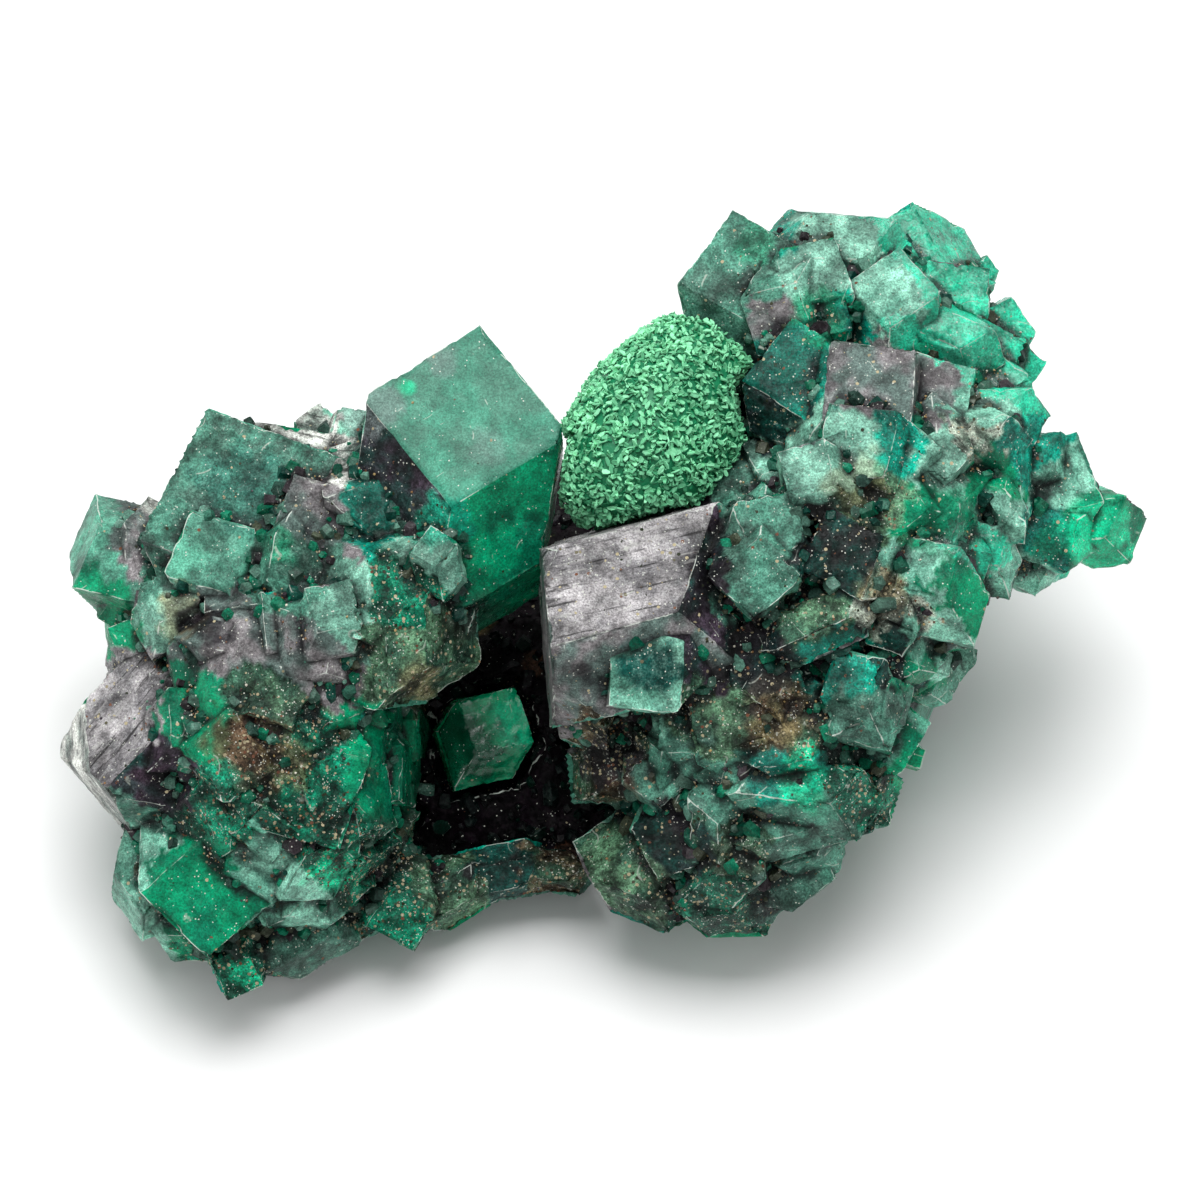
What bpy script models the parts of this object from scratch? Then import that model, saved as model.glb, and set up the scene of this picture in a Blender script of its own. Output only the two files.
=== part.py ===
"""Dioptase specimen: two groups of stout green crystals grown on a dark matrix, with a druse of small plates.

The crystals are placed as the front of the specimen shows them: across, up and out, in millimetres from the
middle of the front view. The whole is then laid back on the flat cut that it rests on.
"""

import math
import random

import bmesh
import bpy
from mathutils import Matrix, Vector, noise

MM = 0.001

# How the specimen lies
FRONT_ELEVATION = math.radians(60)
FRONT_HEIGHT = 15.3
CLEARANCE = 0.32

# Angles of a dioptase crystal: a six-sided prism, closed at each end by three faces of a rhombohedron
CAP_TILT = math.radians(51)
SIDE_STEP = math.radians(60)
CAP_STEP = math.radians(120)
CAP_SHIFT = math.radians(30)
UNEVEN = 0.07
# From the prism's axis to one of its edges, for a half width of 1
CORNER = 1 / math.cos(math.radians(30))

# Each crystal: the middle of the face that shows (across, up, out), the half width of its prism and the
# half length of the prism's sides, the way the face looks (across, up, out), and the angle in degrees at
# which its point lies round that face. A "cap" shows a face of its point, a "side" a face of its prism.
LEFT_CRYSTALS = {
    "tall_block": (-7.35, 10.2, 5.0, 5.55, 3.8, (0.02, 0.33, 0.94), 80, "cap"),
    "broad_shoulder": (-19.7, 5.7, 2.6, 5.9, 3.0, (-0.12, 0.20, 0.97), 112, "cap"),
    "shoulder_step": (-21.4, 2.6, 3.4, 2.9, 2.0, (-0.12, 0.20, 0.97), 116, "cap"),
    "violet_face": (-15.8, 4.4, 3.8, 3.0, 2.0, (-0.04, 0.14, 0.98), 116, "cap"),
    "outer_block": (-26.5, 1.6, -0.2, 2.8, 2.2, (-0.32, 0.30, 0.90), 300, "cap"),
    "small_gable": (-23.6, 0.3, 3.0, 2.0, 1.0, (-0.15, 0.40, 0.90), 75, "cap"),
    "outer_root": (-24.8, 1.6, -0.4, 2.5, 1.5, (0.05, 0.10, 0.99), 90, "side"),
    "waist_knob": (-25.8, -2.2, 0.6, 1.6, 1.0, (-0.30, 0.20, 0.93), 70, "cap"),
    "under_violet": (-16.6, 1.2, 4.6, 2.6, 1.6, (0.05, -0.10, 0.99), 80, "side"),
    "teal_bridge": (-11.8, 5.0, 4.6, 3.4, 1.6, (-0.05, 0.10, 0.99), 140, "side"),
    "bud": (-9.2, 2.8, 7.4, 1.4, 1.0, (-0.10, 0.25, 0.96), 100, "cap"),
    "pale_knob": (-14.5, -0.3, 7.0, 2.0, 1.0, (-0.10, 0.30, 0.95), 60, "cap"),
    "bridge_foot": (-11.0, 0.4, 6.6, 3.4, 2.0, (0.15, 0.10, 0.98), 15, "side"),
    "olive_lump": (-10.6, -2.6, 6.4, 3.8, 1.6, (0.20, -0.15, 0.97), 35, "side"),
    "grey_lump": (-16.0, -2.4, 6.4, 3.2, 1.4, (-0.05, 0.05, 1.00), 200, "side"),
    "lilac_lens": (-20.6, -1.9, 5.2, 1.6, 1.2, (-0.05, 0.45, 0.89), 170, "side"),
    "grooved_prism": (-25.3, -5.6, 2.4, 4.3, 3.6, (-0.45, 0.42, 0.79), 232, "side"),
    "dark_wedge": (-24.3, -9.6, 2.6, 2.2, 1.4, (-0.20, -0.35, 0.91), 60, "side"),
    "inner_green": (-21.8, -6.4, 4.8, 2.3, 1.2, (0.05, 0.10, 0.99), 45, "cap"),
    "left_rib": (-25.4, -13.6, -0.2, 2.6, 2.4, (-0.55, 0.05, 0.83), 255, "side"),
    "left_ankle": (-24.0, -17.2, -1.4, 2.2, 1.6, (-0.45, -0.20, 0.87), 300, "side"),
    "lower_point": (-21.3, -16.3, 3.2, 4.0, 2.6, (0.00, -0.10, 0.99), 268, "cap"),
    "pale_cheek": (-17.6, -16.4, 2.0, 2.0, 1.6, (0.35, -0.15, 0.93), 250, "cap"),
    "foot_left": (-20.0, -20.6, 0.4, 1.8, 1.4, (0.10, -0.20, 0.97), 250, "cap"),
    "foot_middle": (-16.8, -17.9, -0.6, 2.3, 2.0, (0.05, 0.05, 1.00), 30, "side"),
    "round_green": (-16.0, -10.6, 5.6, 4.2, 1.6, (0.15, -0.10, 0.98), 300, "cap"),
    "round_side": (-14.4, -11.6, 4.0, 3.3, 1.6, (0.45, -0.10, 0.89), 80, "side"),
    "rusty_middle": (-18.6, -8.6, 6.0, 2.8, 1.4, (-0.05, 0.10, 0.99), 20, "side"),
    "rear_stub": (-15.6, 9.8, -2.0, 1.5, 1.2, (-0.10, 0.50, 0.86), 90, "cap"),
    "shoulder_ridge": (-16.8, 8.6, 0.6, 1.5, 2.4, (0.10, 0.60, 0.79), 168, "side"),
    "grey_flank": (-13.5, 9.2, 0.6, 1.9, 1.6, (-0.30, 0.40, 0.87), 40, "cap"),
    "rim_point": (-11.0, -17.6, -1.6, 2.3, 1.6, (0.00, -0.10, 0.99), 285, "cap"),
    "rim_step": (-13.6, -16.4, -2.4, 2.0, 1.5, (0.00, 0.10, 0.99), 20, "side"),
    "rim_side": (-8.6, -16.4, -2.8, 1.8, 1.6, (0.10, -0.10, 0.99), 32, "side"),
    "rim_end": (-5.6, -15.2, -3.4, 1.5, 2.0, (0.00, -0.10, 0.99), 12, "side"),
    "rim_tail": (-2.8, -15.0, -3.6, 1.2, 1.4, (0.05, -0.10, 0.99), 350, "side"),
}

RIGHT_CRYSTALS = {
    "top_block": (7.7, 18.0, 0.2, 4.1, 2.4, (-0.15, 0.30, 0.94), 103, "cap"),
    "top_step": (11.6, 17.8, 1.2, 2.6, 1.4, (0.05, 0.25, 0.97), 60, "cap"),
    "top_grey": (9.4, 15.0, 1.7, 2.6, 1.4, (-0.10, -0.10, 0.99), 240, "cap"),
    "top_ridge": (12.7, 19.8, -0.8, 2.2, 2.4, (0.00, 0.45, 0.89), 355, "side"),
    "glass_crest": (16.2, 19.3, -2.6, 2.7, 2.0, (0.05, 0.25, 0.97), 165, "cap"),
    "glass_flank": (19.3, 16.5, -2.2, 2.9, 2.0, (0.15, 0.15, 0.98), 40, "cap"),
    "glass_knee": (22.0, 15.0, -3.2, 1.9, 1.4, (0.25, 0.15, 0.96), 75, "cap"),
    "glass_drop": (21.6, 13.4, -2.0, 2.2, 1.4, (0.20, 0.10, 0.97), 20, "cap"),
    "glass_toe": (23.1, 12.7, -3.6, 1.6, 1.4, (0.30, -0.05, 0.95), 10, "cap"),
    "glass_bead": (21.0, 18.1, -5.0, 0.8, 0.8, (0.30, 0.20, 0.93), 80, "cap"),
    "frosted_crescent": (15.8, 17.0, 0.8, 2.7, 1.8, (-0.08, 0.30, 0.95), 84, "cap"),
    "mint_blade": (18.6, 14.8, 0.6, 1.7, 2.0, (0.05, 0.30, 0.95), 335, "side"),
    "mint_edge": (20.9, 12.6, -0.6, 1.5, 1.8, (0.15, 0.35, 0.92), 325, "side"),
    "teal_notch": (12.0, 15.5, 1.4, 2.0, 1.0, (0.00, 0.05, 1.00), 60, "cap"),
    "notch_rock": (10.4, 12.6, 2.8, 3.2, 1.6, (-0.10, 0.25, 0.96), 100, "cap"),
    "lilac_table": (14.5, 11.8, 4.2, 3.5, 2.0, (-0.06, 0.42, 0.90), 40, "cap"),
    "table_right": (18.4, 11.5, 2.4, 2.6, 1.6, (0.05, 0.35, 0.93), 30, "cap"),
    "long_ledge": (20.0, 10.5, 1.4, 1.8, 2.6, (0.00, 0.40, 0.92), 1, "side"),
    "pale_table": (13.5, 8.6, 6.4, 2.8, 1.8, (-0.12, 0.12, 0.98), 125, "cap"),
    "deep_gable": (15.8, 8.2, 6.0, 2.5, 1.6, (0.10, 0.05, 0.99), 92, "cap"),
    "kite": (18.3, 7.5, 5.4, 1.8, 1.6, (0.02, 0.20, 0.98), 275, "cap"),
    "rough_block": (20.5, 8.7, 3.6, 1.9, 1.0, (0.05, 0.15, 0.99), 2, "side"),
    "green_pillar": (21.3, 6.6, 2.6, 2.4, 2.4, (0.15, 0.00, 0.99), 272, "side"),
    "leaf": (21.6, 4.9, 3.4, 1.0, 1.3, (-0.10, 0.10, 0.99), 300, "side"),
    "right_plate": (24.8, 6.8, -0.4, 2.9, 1.8, (0.18, 0.15, 0.97), 62, "cap"),
    "right_shoulder": (23.4, 7.5, 0.4, 1.8, 1.4, (0.15, 0.25, 0.96), 20, "side"),
    "right_tip": (27.0, 4.2, -1.6, 2.2, 1.0, (0.15, 0.10, 0.98), 8, "side"),
    "tip_fill": (23.9, 3.2, 0.2, 2.4, 1.6, (0.15, 0.00, 0.99), 210, "cap"),
    "tip_root": (23.0, 1.6, -0.6, 1.9, 1.4, (0.20, -0.15, 0.97), 200, "cap"),
    "pale_lens": (10.8, 7.1, 7.2, 2.1, 1.4, (-0.08, 0.30, 0.95), 152, "cap"),
    "inner_gable": (9.0, 4.2, 7.6, 2.3, 1.6, (-0.08, 0.18, 0.98), 60, "cap"),
    "front_shield": (8.1, 1.0, 8.2, 2.7, 2.0, (-0.10, 0.08, 0.99), 268, "cap"),
    "lying_prism": (1.0, 1.0, 7.2, 4.8, 4.6, (-0.06, 0.45, 0.88), 17, "side"),
    "window_crystal": (2.1, -4.3, 8.0, 2.8, 2.4, (0.00, -0.05, 1.00), 220, "cap"),
    "recess_cheek": (-1.6, -4.8, 3.4, 2.4, 1.8, (-0.45, -0.05, 0.89), 100, "side"),
    "low_grey": (2.9, -9.8, 3.4, 2.2, 1.2, (0.00, 0.10, 0.99), 272, "cap"),
    "low_gable": (6.2, -10.6, 4.2, 1.9, 1.4, (0.00, 0.15, 0.99), 92, "cap"),
    "rust_corner": (0.4, -8.6, 1.6, 2.2, 1.6, (-0.30, 0.10, 0.95), 40, "side"),
    "middle_mass": (6.2, -6.4, 6.0, 2.9, 1.4, (-0.05, 0.00, 1.00), 150, "cap"),
    "dark_hollow": (8.4, -3.4, 6.2, 3.0, 1.6, (0.00, -0.05, 1.00), 60, "cap"),
    "middle_bar": (11.4, -1.0, 7.6, 1.6, 2.0, (-0.05, 0.30, 0.95), 25, "side"),
    "central_green": (12.8, 2.2, 7.2, 2.9, 1.8, (0.02, 0.10, 0.99), 200, "cap"),
    "brown_column": (15.6, 0.2, 6.2, 1.6, 1.8, (0.10, 0.05, 0.99), 100, "side"),
    "teal_gable": (13.3, -4.2, 6.4, 2.1, 1.6, (0.02, 0.20, 0.98), 120, "cap"),
    "grey_bar": (13.8, -5.9, 5.8, 1.7, 1.6, (0.05, 0.10, 0.99), 20, "side"),
    "speckled_middle": (10.3, -7.2, 5.6, 2.8, 1.6, (0.02, 0.08, 1.00), 10, "side"),
    "side_block": (16.0, -3.2, 4.2, 2.2, 1.4, (0.15, 0.00, 0.99), 30, "side"),
    "side_wall": (15.8, -7.2, 3.0, 2.4, 1.8, (0.35, 0.02, 0.94), 10, "cap"),
    "green_step": (10.5, -10.0, 4.8, 2.3, 2.8, (0.02, 0.18, 0.98), 352, "side"),
    "green_step_end": (13.8, -10.3, 2.8, 2.0, 1.1, (0.20, 0.15, 0.97), 12, "side"),
    "low_ledge": (10.9, -11.9, 3.4, 1.5, 3.2, (0.05, 0.30, 0.95), 16, "side"),
    "dark_middle": (3.6, -13.4, 2.4, 2.6, 1.6, (-0.08, 0.00, 1.00), 250, "cap"),
    "smooth_foot": (2.0, -14.9, 0.8, 2.5, 1.7, (-0.08, 0.02, 1.00), 338, "side"),
    "wide_foot": (6.4, -15.8, 1.2, 2.5, 1.6, (0.00, 0.00, 1.00), 1, "side"),
    "mid_foot": (7.4, -13.8, 2.8, 2.2, 1.6, (0.00, 0.10, 0.99), 40, "cap"),
    "right_foot": (10.8, -15.0, 0.8, 2.4, 1.4, (0.12, -0.02, 0.99), 350, "cap"),
    "right_shin": (11.0, -13.2, 1.8, 2.0, 1.0, (0.15, 0.08, 0.98), 15, "side"),
    "side_plate": (17.5, -4.1, 1.0, 1.9, 0.6, (0.15, 0.00, 0.99), 12, "side"),
    "side_chip": (17.9, -2.8, 3.0, 1.0, 0.7, (0.05, 0.15, 0.99), 40, "cap"),
    "side_edge": (19.4, -2.6, -0.6, 1.2, 0.8, (0.30, 0.05, 0.95), 280, "side"),
    "side_bead": (16.9, -8.8, 0.2, 0.8, 0.6, (0.30, 0.00, 0.95), 300, "cap"),
    "frosted_gable": (17.3, 1.6, 6.2, 2.3, 1.6, (-0.08, 0.18, 0.98), 122, "cap"),
    "deep_flank": (19.0, 0.9, 4.0, 2.6, 1.8, (0.20, -0.20, 0.96), 300, "cap"),
    "under_ledge": (17.6, -1.6, 3.2, 1.3, 1.4, (0.02, 0.15, 0.99), 10, "side"),
    "table_foot": (14.9, 5.4, 6.2, 2.9, 1.6, (0.00, 0.05, 1.00), 170, "cap"),
    "under_kite": (17.6, 4.6, 5.4, 2.6, 1.8, (0.05, 0.00, 1.00), 80, "side"),
    "green_round": (20.5, 3.0, 3.4, 1.8, 1.2, (0.15, 0.05, 0.99), 120, "cap"),
}

# The crystals that are broken off: a point of the break, and the way the break faces
BROKEN_OFF = {
    "grooved_prism": ((-29.9, -7.6, 1.0), (-0.76, -0.63, 0.15)),
    "lying_prism": ((-3.3, 1.0, 7.0), (-1.0, -0.08, 0.05)),
}

RECESS_CRYSTAL = (-5.7, -6.6, -3.4, 2.5, 1.3, (0.15, 0.12, 0.98), 60, "cap")

# The rock that the crystals grew from: its middle and half sizes in millimetres on the resting base,
# and the angle in degrees that it is turned by, seen from above
LEFT_MASS = ((-18.3, -3.6, 7.5), (7.7, 12.0, 11.5), 6)
RIGHT_MASS = ((10.0, 2.8, 8.5), (9.8, 15.6, 12.5), -22)
MATRIX_MASS = ((-4.5, 3.5, 0.0), (12.5, 13.6, 7.6), 0)

# How rough the masses are, in millimetres, and how fine the roughness is
LUMP_DETAIL = 3
LUMP_FINENESS = 0.22
MATRIX_LUMP = 1.4
MASS_LUMP = 0.9
DRUSE_LUMP = 0.5

# The druse of small plates on the upper left of the right group
DRUSE_MIDDLE = (4.9, 9.6, -2.4)
DRUSE_SIZES = (4.9, 10.4, 6.2)
DRUSE_LEAN = math.radians(-35)
DRUSE_TAPER = 0.12

# Smaller crystals all over the rounded rock, on the back and sides, which the front view hides, and lower
# down between the placed ones in front. They stay inside an oval of the front view, given by its middle, its
# half sizes and the angle in degrees that it leans to the right.
REAR_SEED = 12
REAR_WIDTHS = (1.6, 3.4)
FRONT_WIDTHS = (2.0, 3.2)
REAR_LENGTHS = (0.4, 0.9)
REAR_SINK = 0.35
FRONT_SINK = 0.12
REAR_TILT = 0.35
FRONT_TILT = 0.15
REAR_FACING = 0.15
REAR_LOWEST = 0.6
REACH = 1.3
LEFT_OVAL = ((-18.0, -5.0), (10.4, 15.6), -4)
LEFT_REAR_COUNT = 64
RIGHT_OVAL = ((9.5, 1.5), (11.2, 20.5), 16)
RIGHT_REAR_COUNT = 84

# Helpers
GROUND_WIDTH = 120
GROUND_DEPTH = 60
WELD = 0.002

# Colours and roughness of the plain finishes
GREEN = ((0.02, 0.22, 0.14), 0.3)
ROCK = ((0.04, 0.03, 0.035), 0.7)
LIME = ((0.16, 0.50, 0.30), 0.5)


def on_base(across, up, out):
    """A point of the front view, in millimetres on the base that the specimen rests on."""
    lean, rise = math.sin(FRONT_ELEVATION), math.cos(FRONT_ELEVATION)
    return Vector((across, up * lean - out * rise, up * rise + out * lean + FRONT_HEIGHT))


def turned(across, up, out):
    """A direction of the front view, turned as the specimen is."""
    return (on_base(across, up, out) - on_base(0, 0, 0)).normalized()


def in_front_view(point):
    """(across, up) of a point on the base, as the front view shows it."""
    lean, rise = math.sin(FRONT_ELEVATION), math.cos(FRONT_ELEVATION)
    return point.x, point.y * lean + (point.z - FRONT_HEIGHT) * rise


def collection(name, hidden=False):
    """A collection in the scene; a hidden one holds the cutters."""
    made = bpy.data.collections.new(name)
    bpy.context.scene.collection.children.link(made)
    made.hide_render = hidden
    return made


def cut(shape, normal, distance):
    """Slices everything beyond a plane off a closed bmesh, and closes it with a flat face."""
    everything = shape.verts[:] + shape.edges[:] + shape.faces[:]
    sliced = bmesh.ops.bisect_plane(
        shape,
        geom=everything,
        plane_co=normal * distance,
        plane_no=normal,
        clear_outer=True,
    )
    rim = [item for item in sliced["geom_cut"] if isinstance(item, bmesh.types.BMEdge)]
    if rim:
        bmesh.ops.contextual_create(shape, geom=rim)


def direction(tilt, turn):
    """A unit vector tilted from the crystal's long axis and turned round it."""
    return Vector((math.sin(tilt) * math.cos(turn), math.sin(tilt) * math.sin(turn), math.cos(tilt)))


def crystal_faces(width, tip, luck):
    """(normal, distance) of the prism's six faces and of the three faces at each end."""
    for side in range(6):
        yield direction(math.pi / 2, side * SIDE_STEP), width * luck.uniform(1 - UNEVEN, 1 + UNEVEN)
    for end in range(3):
        reach = tip * math.cos(CAP_TILT)
        yield direction(CAP_TILT, CAP_SHIFT + end * CAP_STEP), reach * luck.uniform(1 - UNEVEN, 1)
        under = direction(CAP_TILT, CAP_SHIFT + SIDE_STEP + end * CAP_STEP)
        yield Vector((under.x, under.y, -under.z)), reach * luck.uniform(1 - UNEVEN, 1)


def crystal_frame(looks, point_at, shown):
    """The crystal's own axes, from the way its shown face looks and where its point lies round that face."""
    face = Vector(looks).normalized()
    right = Vector((0, 1, 0)).cross(face).normalized()
    up = face.cross(right)
    toward = right * math.cos(point_at) + up * math.sin(point_at)
    tilt = CAP_TILT if shown == "cap" else math.pi / 2
    axis = face * math.cos(tilt) + toward * math.sin(tilt)
    outward = (face - axis * face.dot(axis)).normalized()
    spin = CAP_SHIFT if shown == "cap" else 0
    across = Matrix.Rotation(-spin, 3, axis) @ outward
    return Matrix((across, axis.cross(across), axis)).transposed()


def crystal_middle(frame, width, tip, looks, shown):
    """From the middle of the shown face to the middle of the crystal."""
    if shown == "side":
        return -Vector(looks).normalized() * width
    outward = frame @ direction(math.pi / 2, CAP_SHIFT)
    axis = frame @ Vector((0, 0, 1))
    aside = width * CORNER / 2
    return -(outward * aside + axis * (tip - aside * math.tan(CAP_TILT)))


def crystal(name, row, home, grow=0.0):
    """One crystal as a mesh object, sliced from a block; its place sets how uneven its faces are."""
    across, up, out, width, length, looks, point_at, shown = row
    luck = random.Random(f"{across:.1f} {up:.1f}")
    tip = length + width * math.tan(CAP_TILT) * (1 + CORNER) / 2 / CORNER
    frame = crystal_frame(looks, math.radians(point_at), shown)
    middle = Vector((across, up, out)) + crystal_middle(frame, width, tip, looks, shown)
    shape = bmesh.new()
    bmesh.ops.create_cube(shape, size=4 * tip)
    for normal, distance in crystal_faces(width, tip, luck):
        cut(shape, normal, distance + grow)
    for vertex in shape.verts:
        vertex.co = frame @ vertex.co + middle
    own_name = name.split(".")[-1]
    if own_name in BROKEN_OFF:
        place, way = BROKEN_OFF[own_name]
        normal = Vector(way).normalized()
        cut(shape, normal, normal.dot(Vector(place)) + grow)
    for vertex in shape.verts:
        vertex.co = on_base(*vertex.co) * MM
    return finished(name, shape, home)


def finished(name, shape, home):
    """A closed bmesh as an object in a collection, with its faces turned outward."""
    bmesh.ops.recalc_face_normals(shape, faces=shape.faces)
    if shape.calc_volume(signed=True) < 0:
        bmesh.ops.reverse_faces(shape, faces=shape.faces)
    mesh = bpy.data.meshes.new(name)
    shape.to_mesh(mesh)
    shape.free()
    made = bpy.data.objects.new(name, mesh)
    home.objects.link(made)
    return made


def lump(name, middle, sizes, turn, rough, home, grow=0.0, taper=0.0):
    """A rounded mass with an uneven, faceted surface, narrower toward its upper end by the taper."""
    shape = bmesh.new()
    bmesh.ops.create_icosphere(shape, subdivisions=LUMP_DETAIL, radius=1)
    for vertex in shape.verts:
        way = vertex.co.normalized()
        place = Vector([way[i] * sizes[i] for i in range(3)])
        swell = rough * noise.fractal(place * LUMP_FINENESS, 0.9, 2.1, 3) + grow
        place += place.normalized() * swell
        place.x *= 1 - taper * way.y
        vertex.co = (turn @ place + Vector(middle)) * MM
    return finished(name, shape, home)


def apply_boolean(target, other, operation):
    """Joins, cuts or intersects two closed meshes, and keeps the result in target."""
    modifier = target.modifiers.new(operation, "BOOLEAN")
    modifier.operation = operation
    modifier.solver = "EXACT"
    if isinstance(other, bpy.types.Collection):
        modifier.operand_type = "COLLECTION"
        modifier.collection = other
    else:
        modifier.object = other
    bpy.context.view_layer.update()
    graph = bpy.context.evaluated_depsgraph_get()
    mesh = bpy.data.meshes.new_from_object(target.evaluated_get(graph))
    target.modifiers.clear()
    target.data = mesh
    return target


def keep_largest(target):
    """Drops loose splinters that a cut left, and keeps the largest body."""
    shape = bmesh.new()
    shape.from_mesh(target.data)
    bmesh.ops.remove_doubles(shape, verts=shape.verts, dist=WELD * MM)
    left = set(shape.verts)
    bodies = []
    while left:
        stack = [left.pop()]
        body = set(stack)
        while stack:
            for edge in stack.pop().link_edges:
                for vertex in edge.verts:
                    if vertex in left:
                        left.discard(vertex)
                        body.add(vertex)
                        stack.append(vertex)
        bodies.append(body)
    bodies.sort(key=len)
    for body in bodies[:-1]:
        bmesh.ops.delete(shape, geom=list(body), context="VERTS")
    shape.to_mesh(target.data)
    shape.free()
    return target


def spread_crystals(mass, oval, count, luck):
    """Crystals spread over a mass, kept inside an oval of the front view."""
    middle, sizes = Vector(mass[0]), Vector(mass[1])
    turn = seen_from_above(mass[2])
    toward_view = turned(0, 0, 1)
    rows = {}
    golden = math.pi * (3 - math.sqrt(5))
    for step in range(count):
        height = 1 - 2 * (step + 0.5) / count
        ring = math.sqrt(1 - height * height)
        way = Vector((ring * math.cos(golden * step), ring * math.sin(golden * step), height))
        place = middle + turn @ Vector([way[i] * sizes[i] for i in range(3)])
        normal = (turn @ Vector([way[i] / sizes[i] for i in range(3)])).normalized()
        in_front = normal.dot(toward_view) > REAR_FACING
        width = luck.uniform(*(FRONT_WIDTHS if in_front else REAR_WIDTHS))
        sink = FRONT_SINK if in_front else REAR_SINK
        length = width * luck.uniform(*REAR_LENGTHS)
        tilt = FRONT_TILT if in_front else REAR_TILT
        lean = Vector([luck.uniform(-tilt, tilt) for _ in range(3)])
        point_at = luck.uniform(0, 360)
        heart = place + normal * width * (sink - 1)
        if place.z < REAR_LOWEST or not inside(oval, in_front_view(heart), width * REACH):
            continue
        face_middle = place + normal * width * sink
        rows[f"spread_{step}"] = as_row(face_middle, (normal + lean).normalized(), width, length, point_at)
    return rows


def inside(oval, seen, reach):
    """Whether a circle of the front view is inside an oval of it."""
    oval_middle, oval_sizes, leaning = oval
    away = Vector(seen) - Vector(oval_middle)
    away.rotate(Matrix.Rotation(math.radians(leaning), 2))
    room = [size - reach for size in oval_sizes]
    return (away.x / room[0]) ** 2 + (away.y / room[1]) ** 2 < 1


def as_row(place, looks, width, length, point_at):
    """A crystal's row in the front view's directions, from a place and a direction on the base."""
    back = Matrix((turned(1, 0, 0), turned(0, 1, 0), turned(0, 0, 1)))
    seen = back @ (place - on_base(0, 0, 0))
    return (*seen, width, length, tuple(back @ looks), point_at, "cap")


def seen_from_above(degrees):
    """A turn about the upright axis."""
    return Matrix.Rotation(math.radians(degrees), 3, "Z")


def group(name, rows, mass, home, grow=0.0):
    """A mass of rock and the crystals grown on it, joined in one solid."""
    pieces = collection(name + "_pieces", hidden=True)
    middle, sizes, turn = mass
    made = lump(name, middle, sizes, seen_from_above(turn), MASS_LUMP, home, grow=grow)
    for crystal_name, row in rows.items():
        crystal(f"{name}.{crystal_name}", row, pieces, grow=grow)
    apply_boolean(made, pieces, "UNION")
    for piece in list(pieces.objects):
        bpy.data.objects.remove(piece)
    bpy.data.collections.remove(pieces)
    return keep_largest(made)


def stood_on_base(target, ground):
    """Cuts a piece off flat on the base."""
    return keep_largest(apply_boolean(target, ground, "DIFFERENCE"))


def finish(name, base_color, roughness):
    """A plain material."""
    made = bpy.data.materials.new(name)
    made.use_nodes = True
    shader = made.node_tree.nodes["Principled BSDF"]
    shader.inputs["Base Color"].default_value = (*base_color, 1)
    shader.inputs["Roughness"].default_value = roughness
    return made


def ground_block(helpers):
    """A block under the base, which cuts the pieces off flat."""
    shape = bmesh.new()
    bmesh.ops.create_cube(shape, size=1)
    for vertex in shape.verts:
        wide = vertex.co * GROUND_WIDTH
        vertex.co = Vector((wide.x, wide.y, (vertex.co.z - 0.5) * GROUND_DEPTH)) * MM
    return finished("ground", shape, helpers)


def as_cutter(made):
    """Marks a helper, which isn't part of the object."""
    made.hide_render = True
    made.display_type = "WIRE"
    return made


def centre_on_base(pieces):
    """Moves the pieces together, so that the origin is under the middle of the specimen, on its base."""
    corners = [vertex.co for piece in pieces for vertex in piece.data.vertices]
    low = Vector([min(corner[i] for corner in corners) for i in range(3)])
    high = Vector([max(corner[i] for corner in corners) for i in range(3)])
    shift = Matrix.Translation(-Vector(((low.x + high.x) / 2, (low.y + high.y) / 2, low.z)))
    for piece in pieces:
        piece.data.transform(shift)


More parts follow.
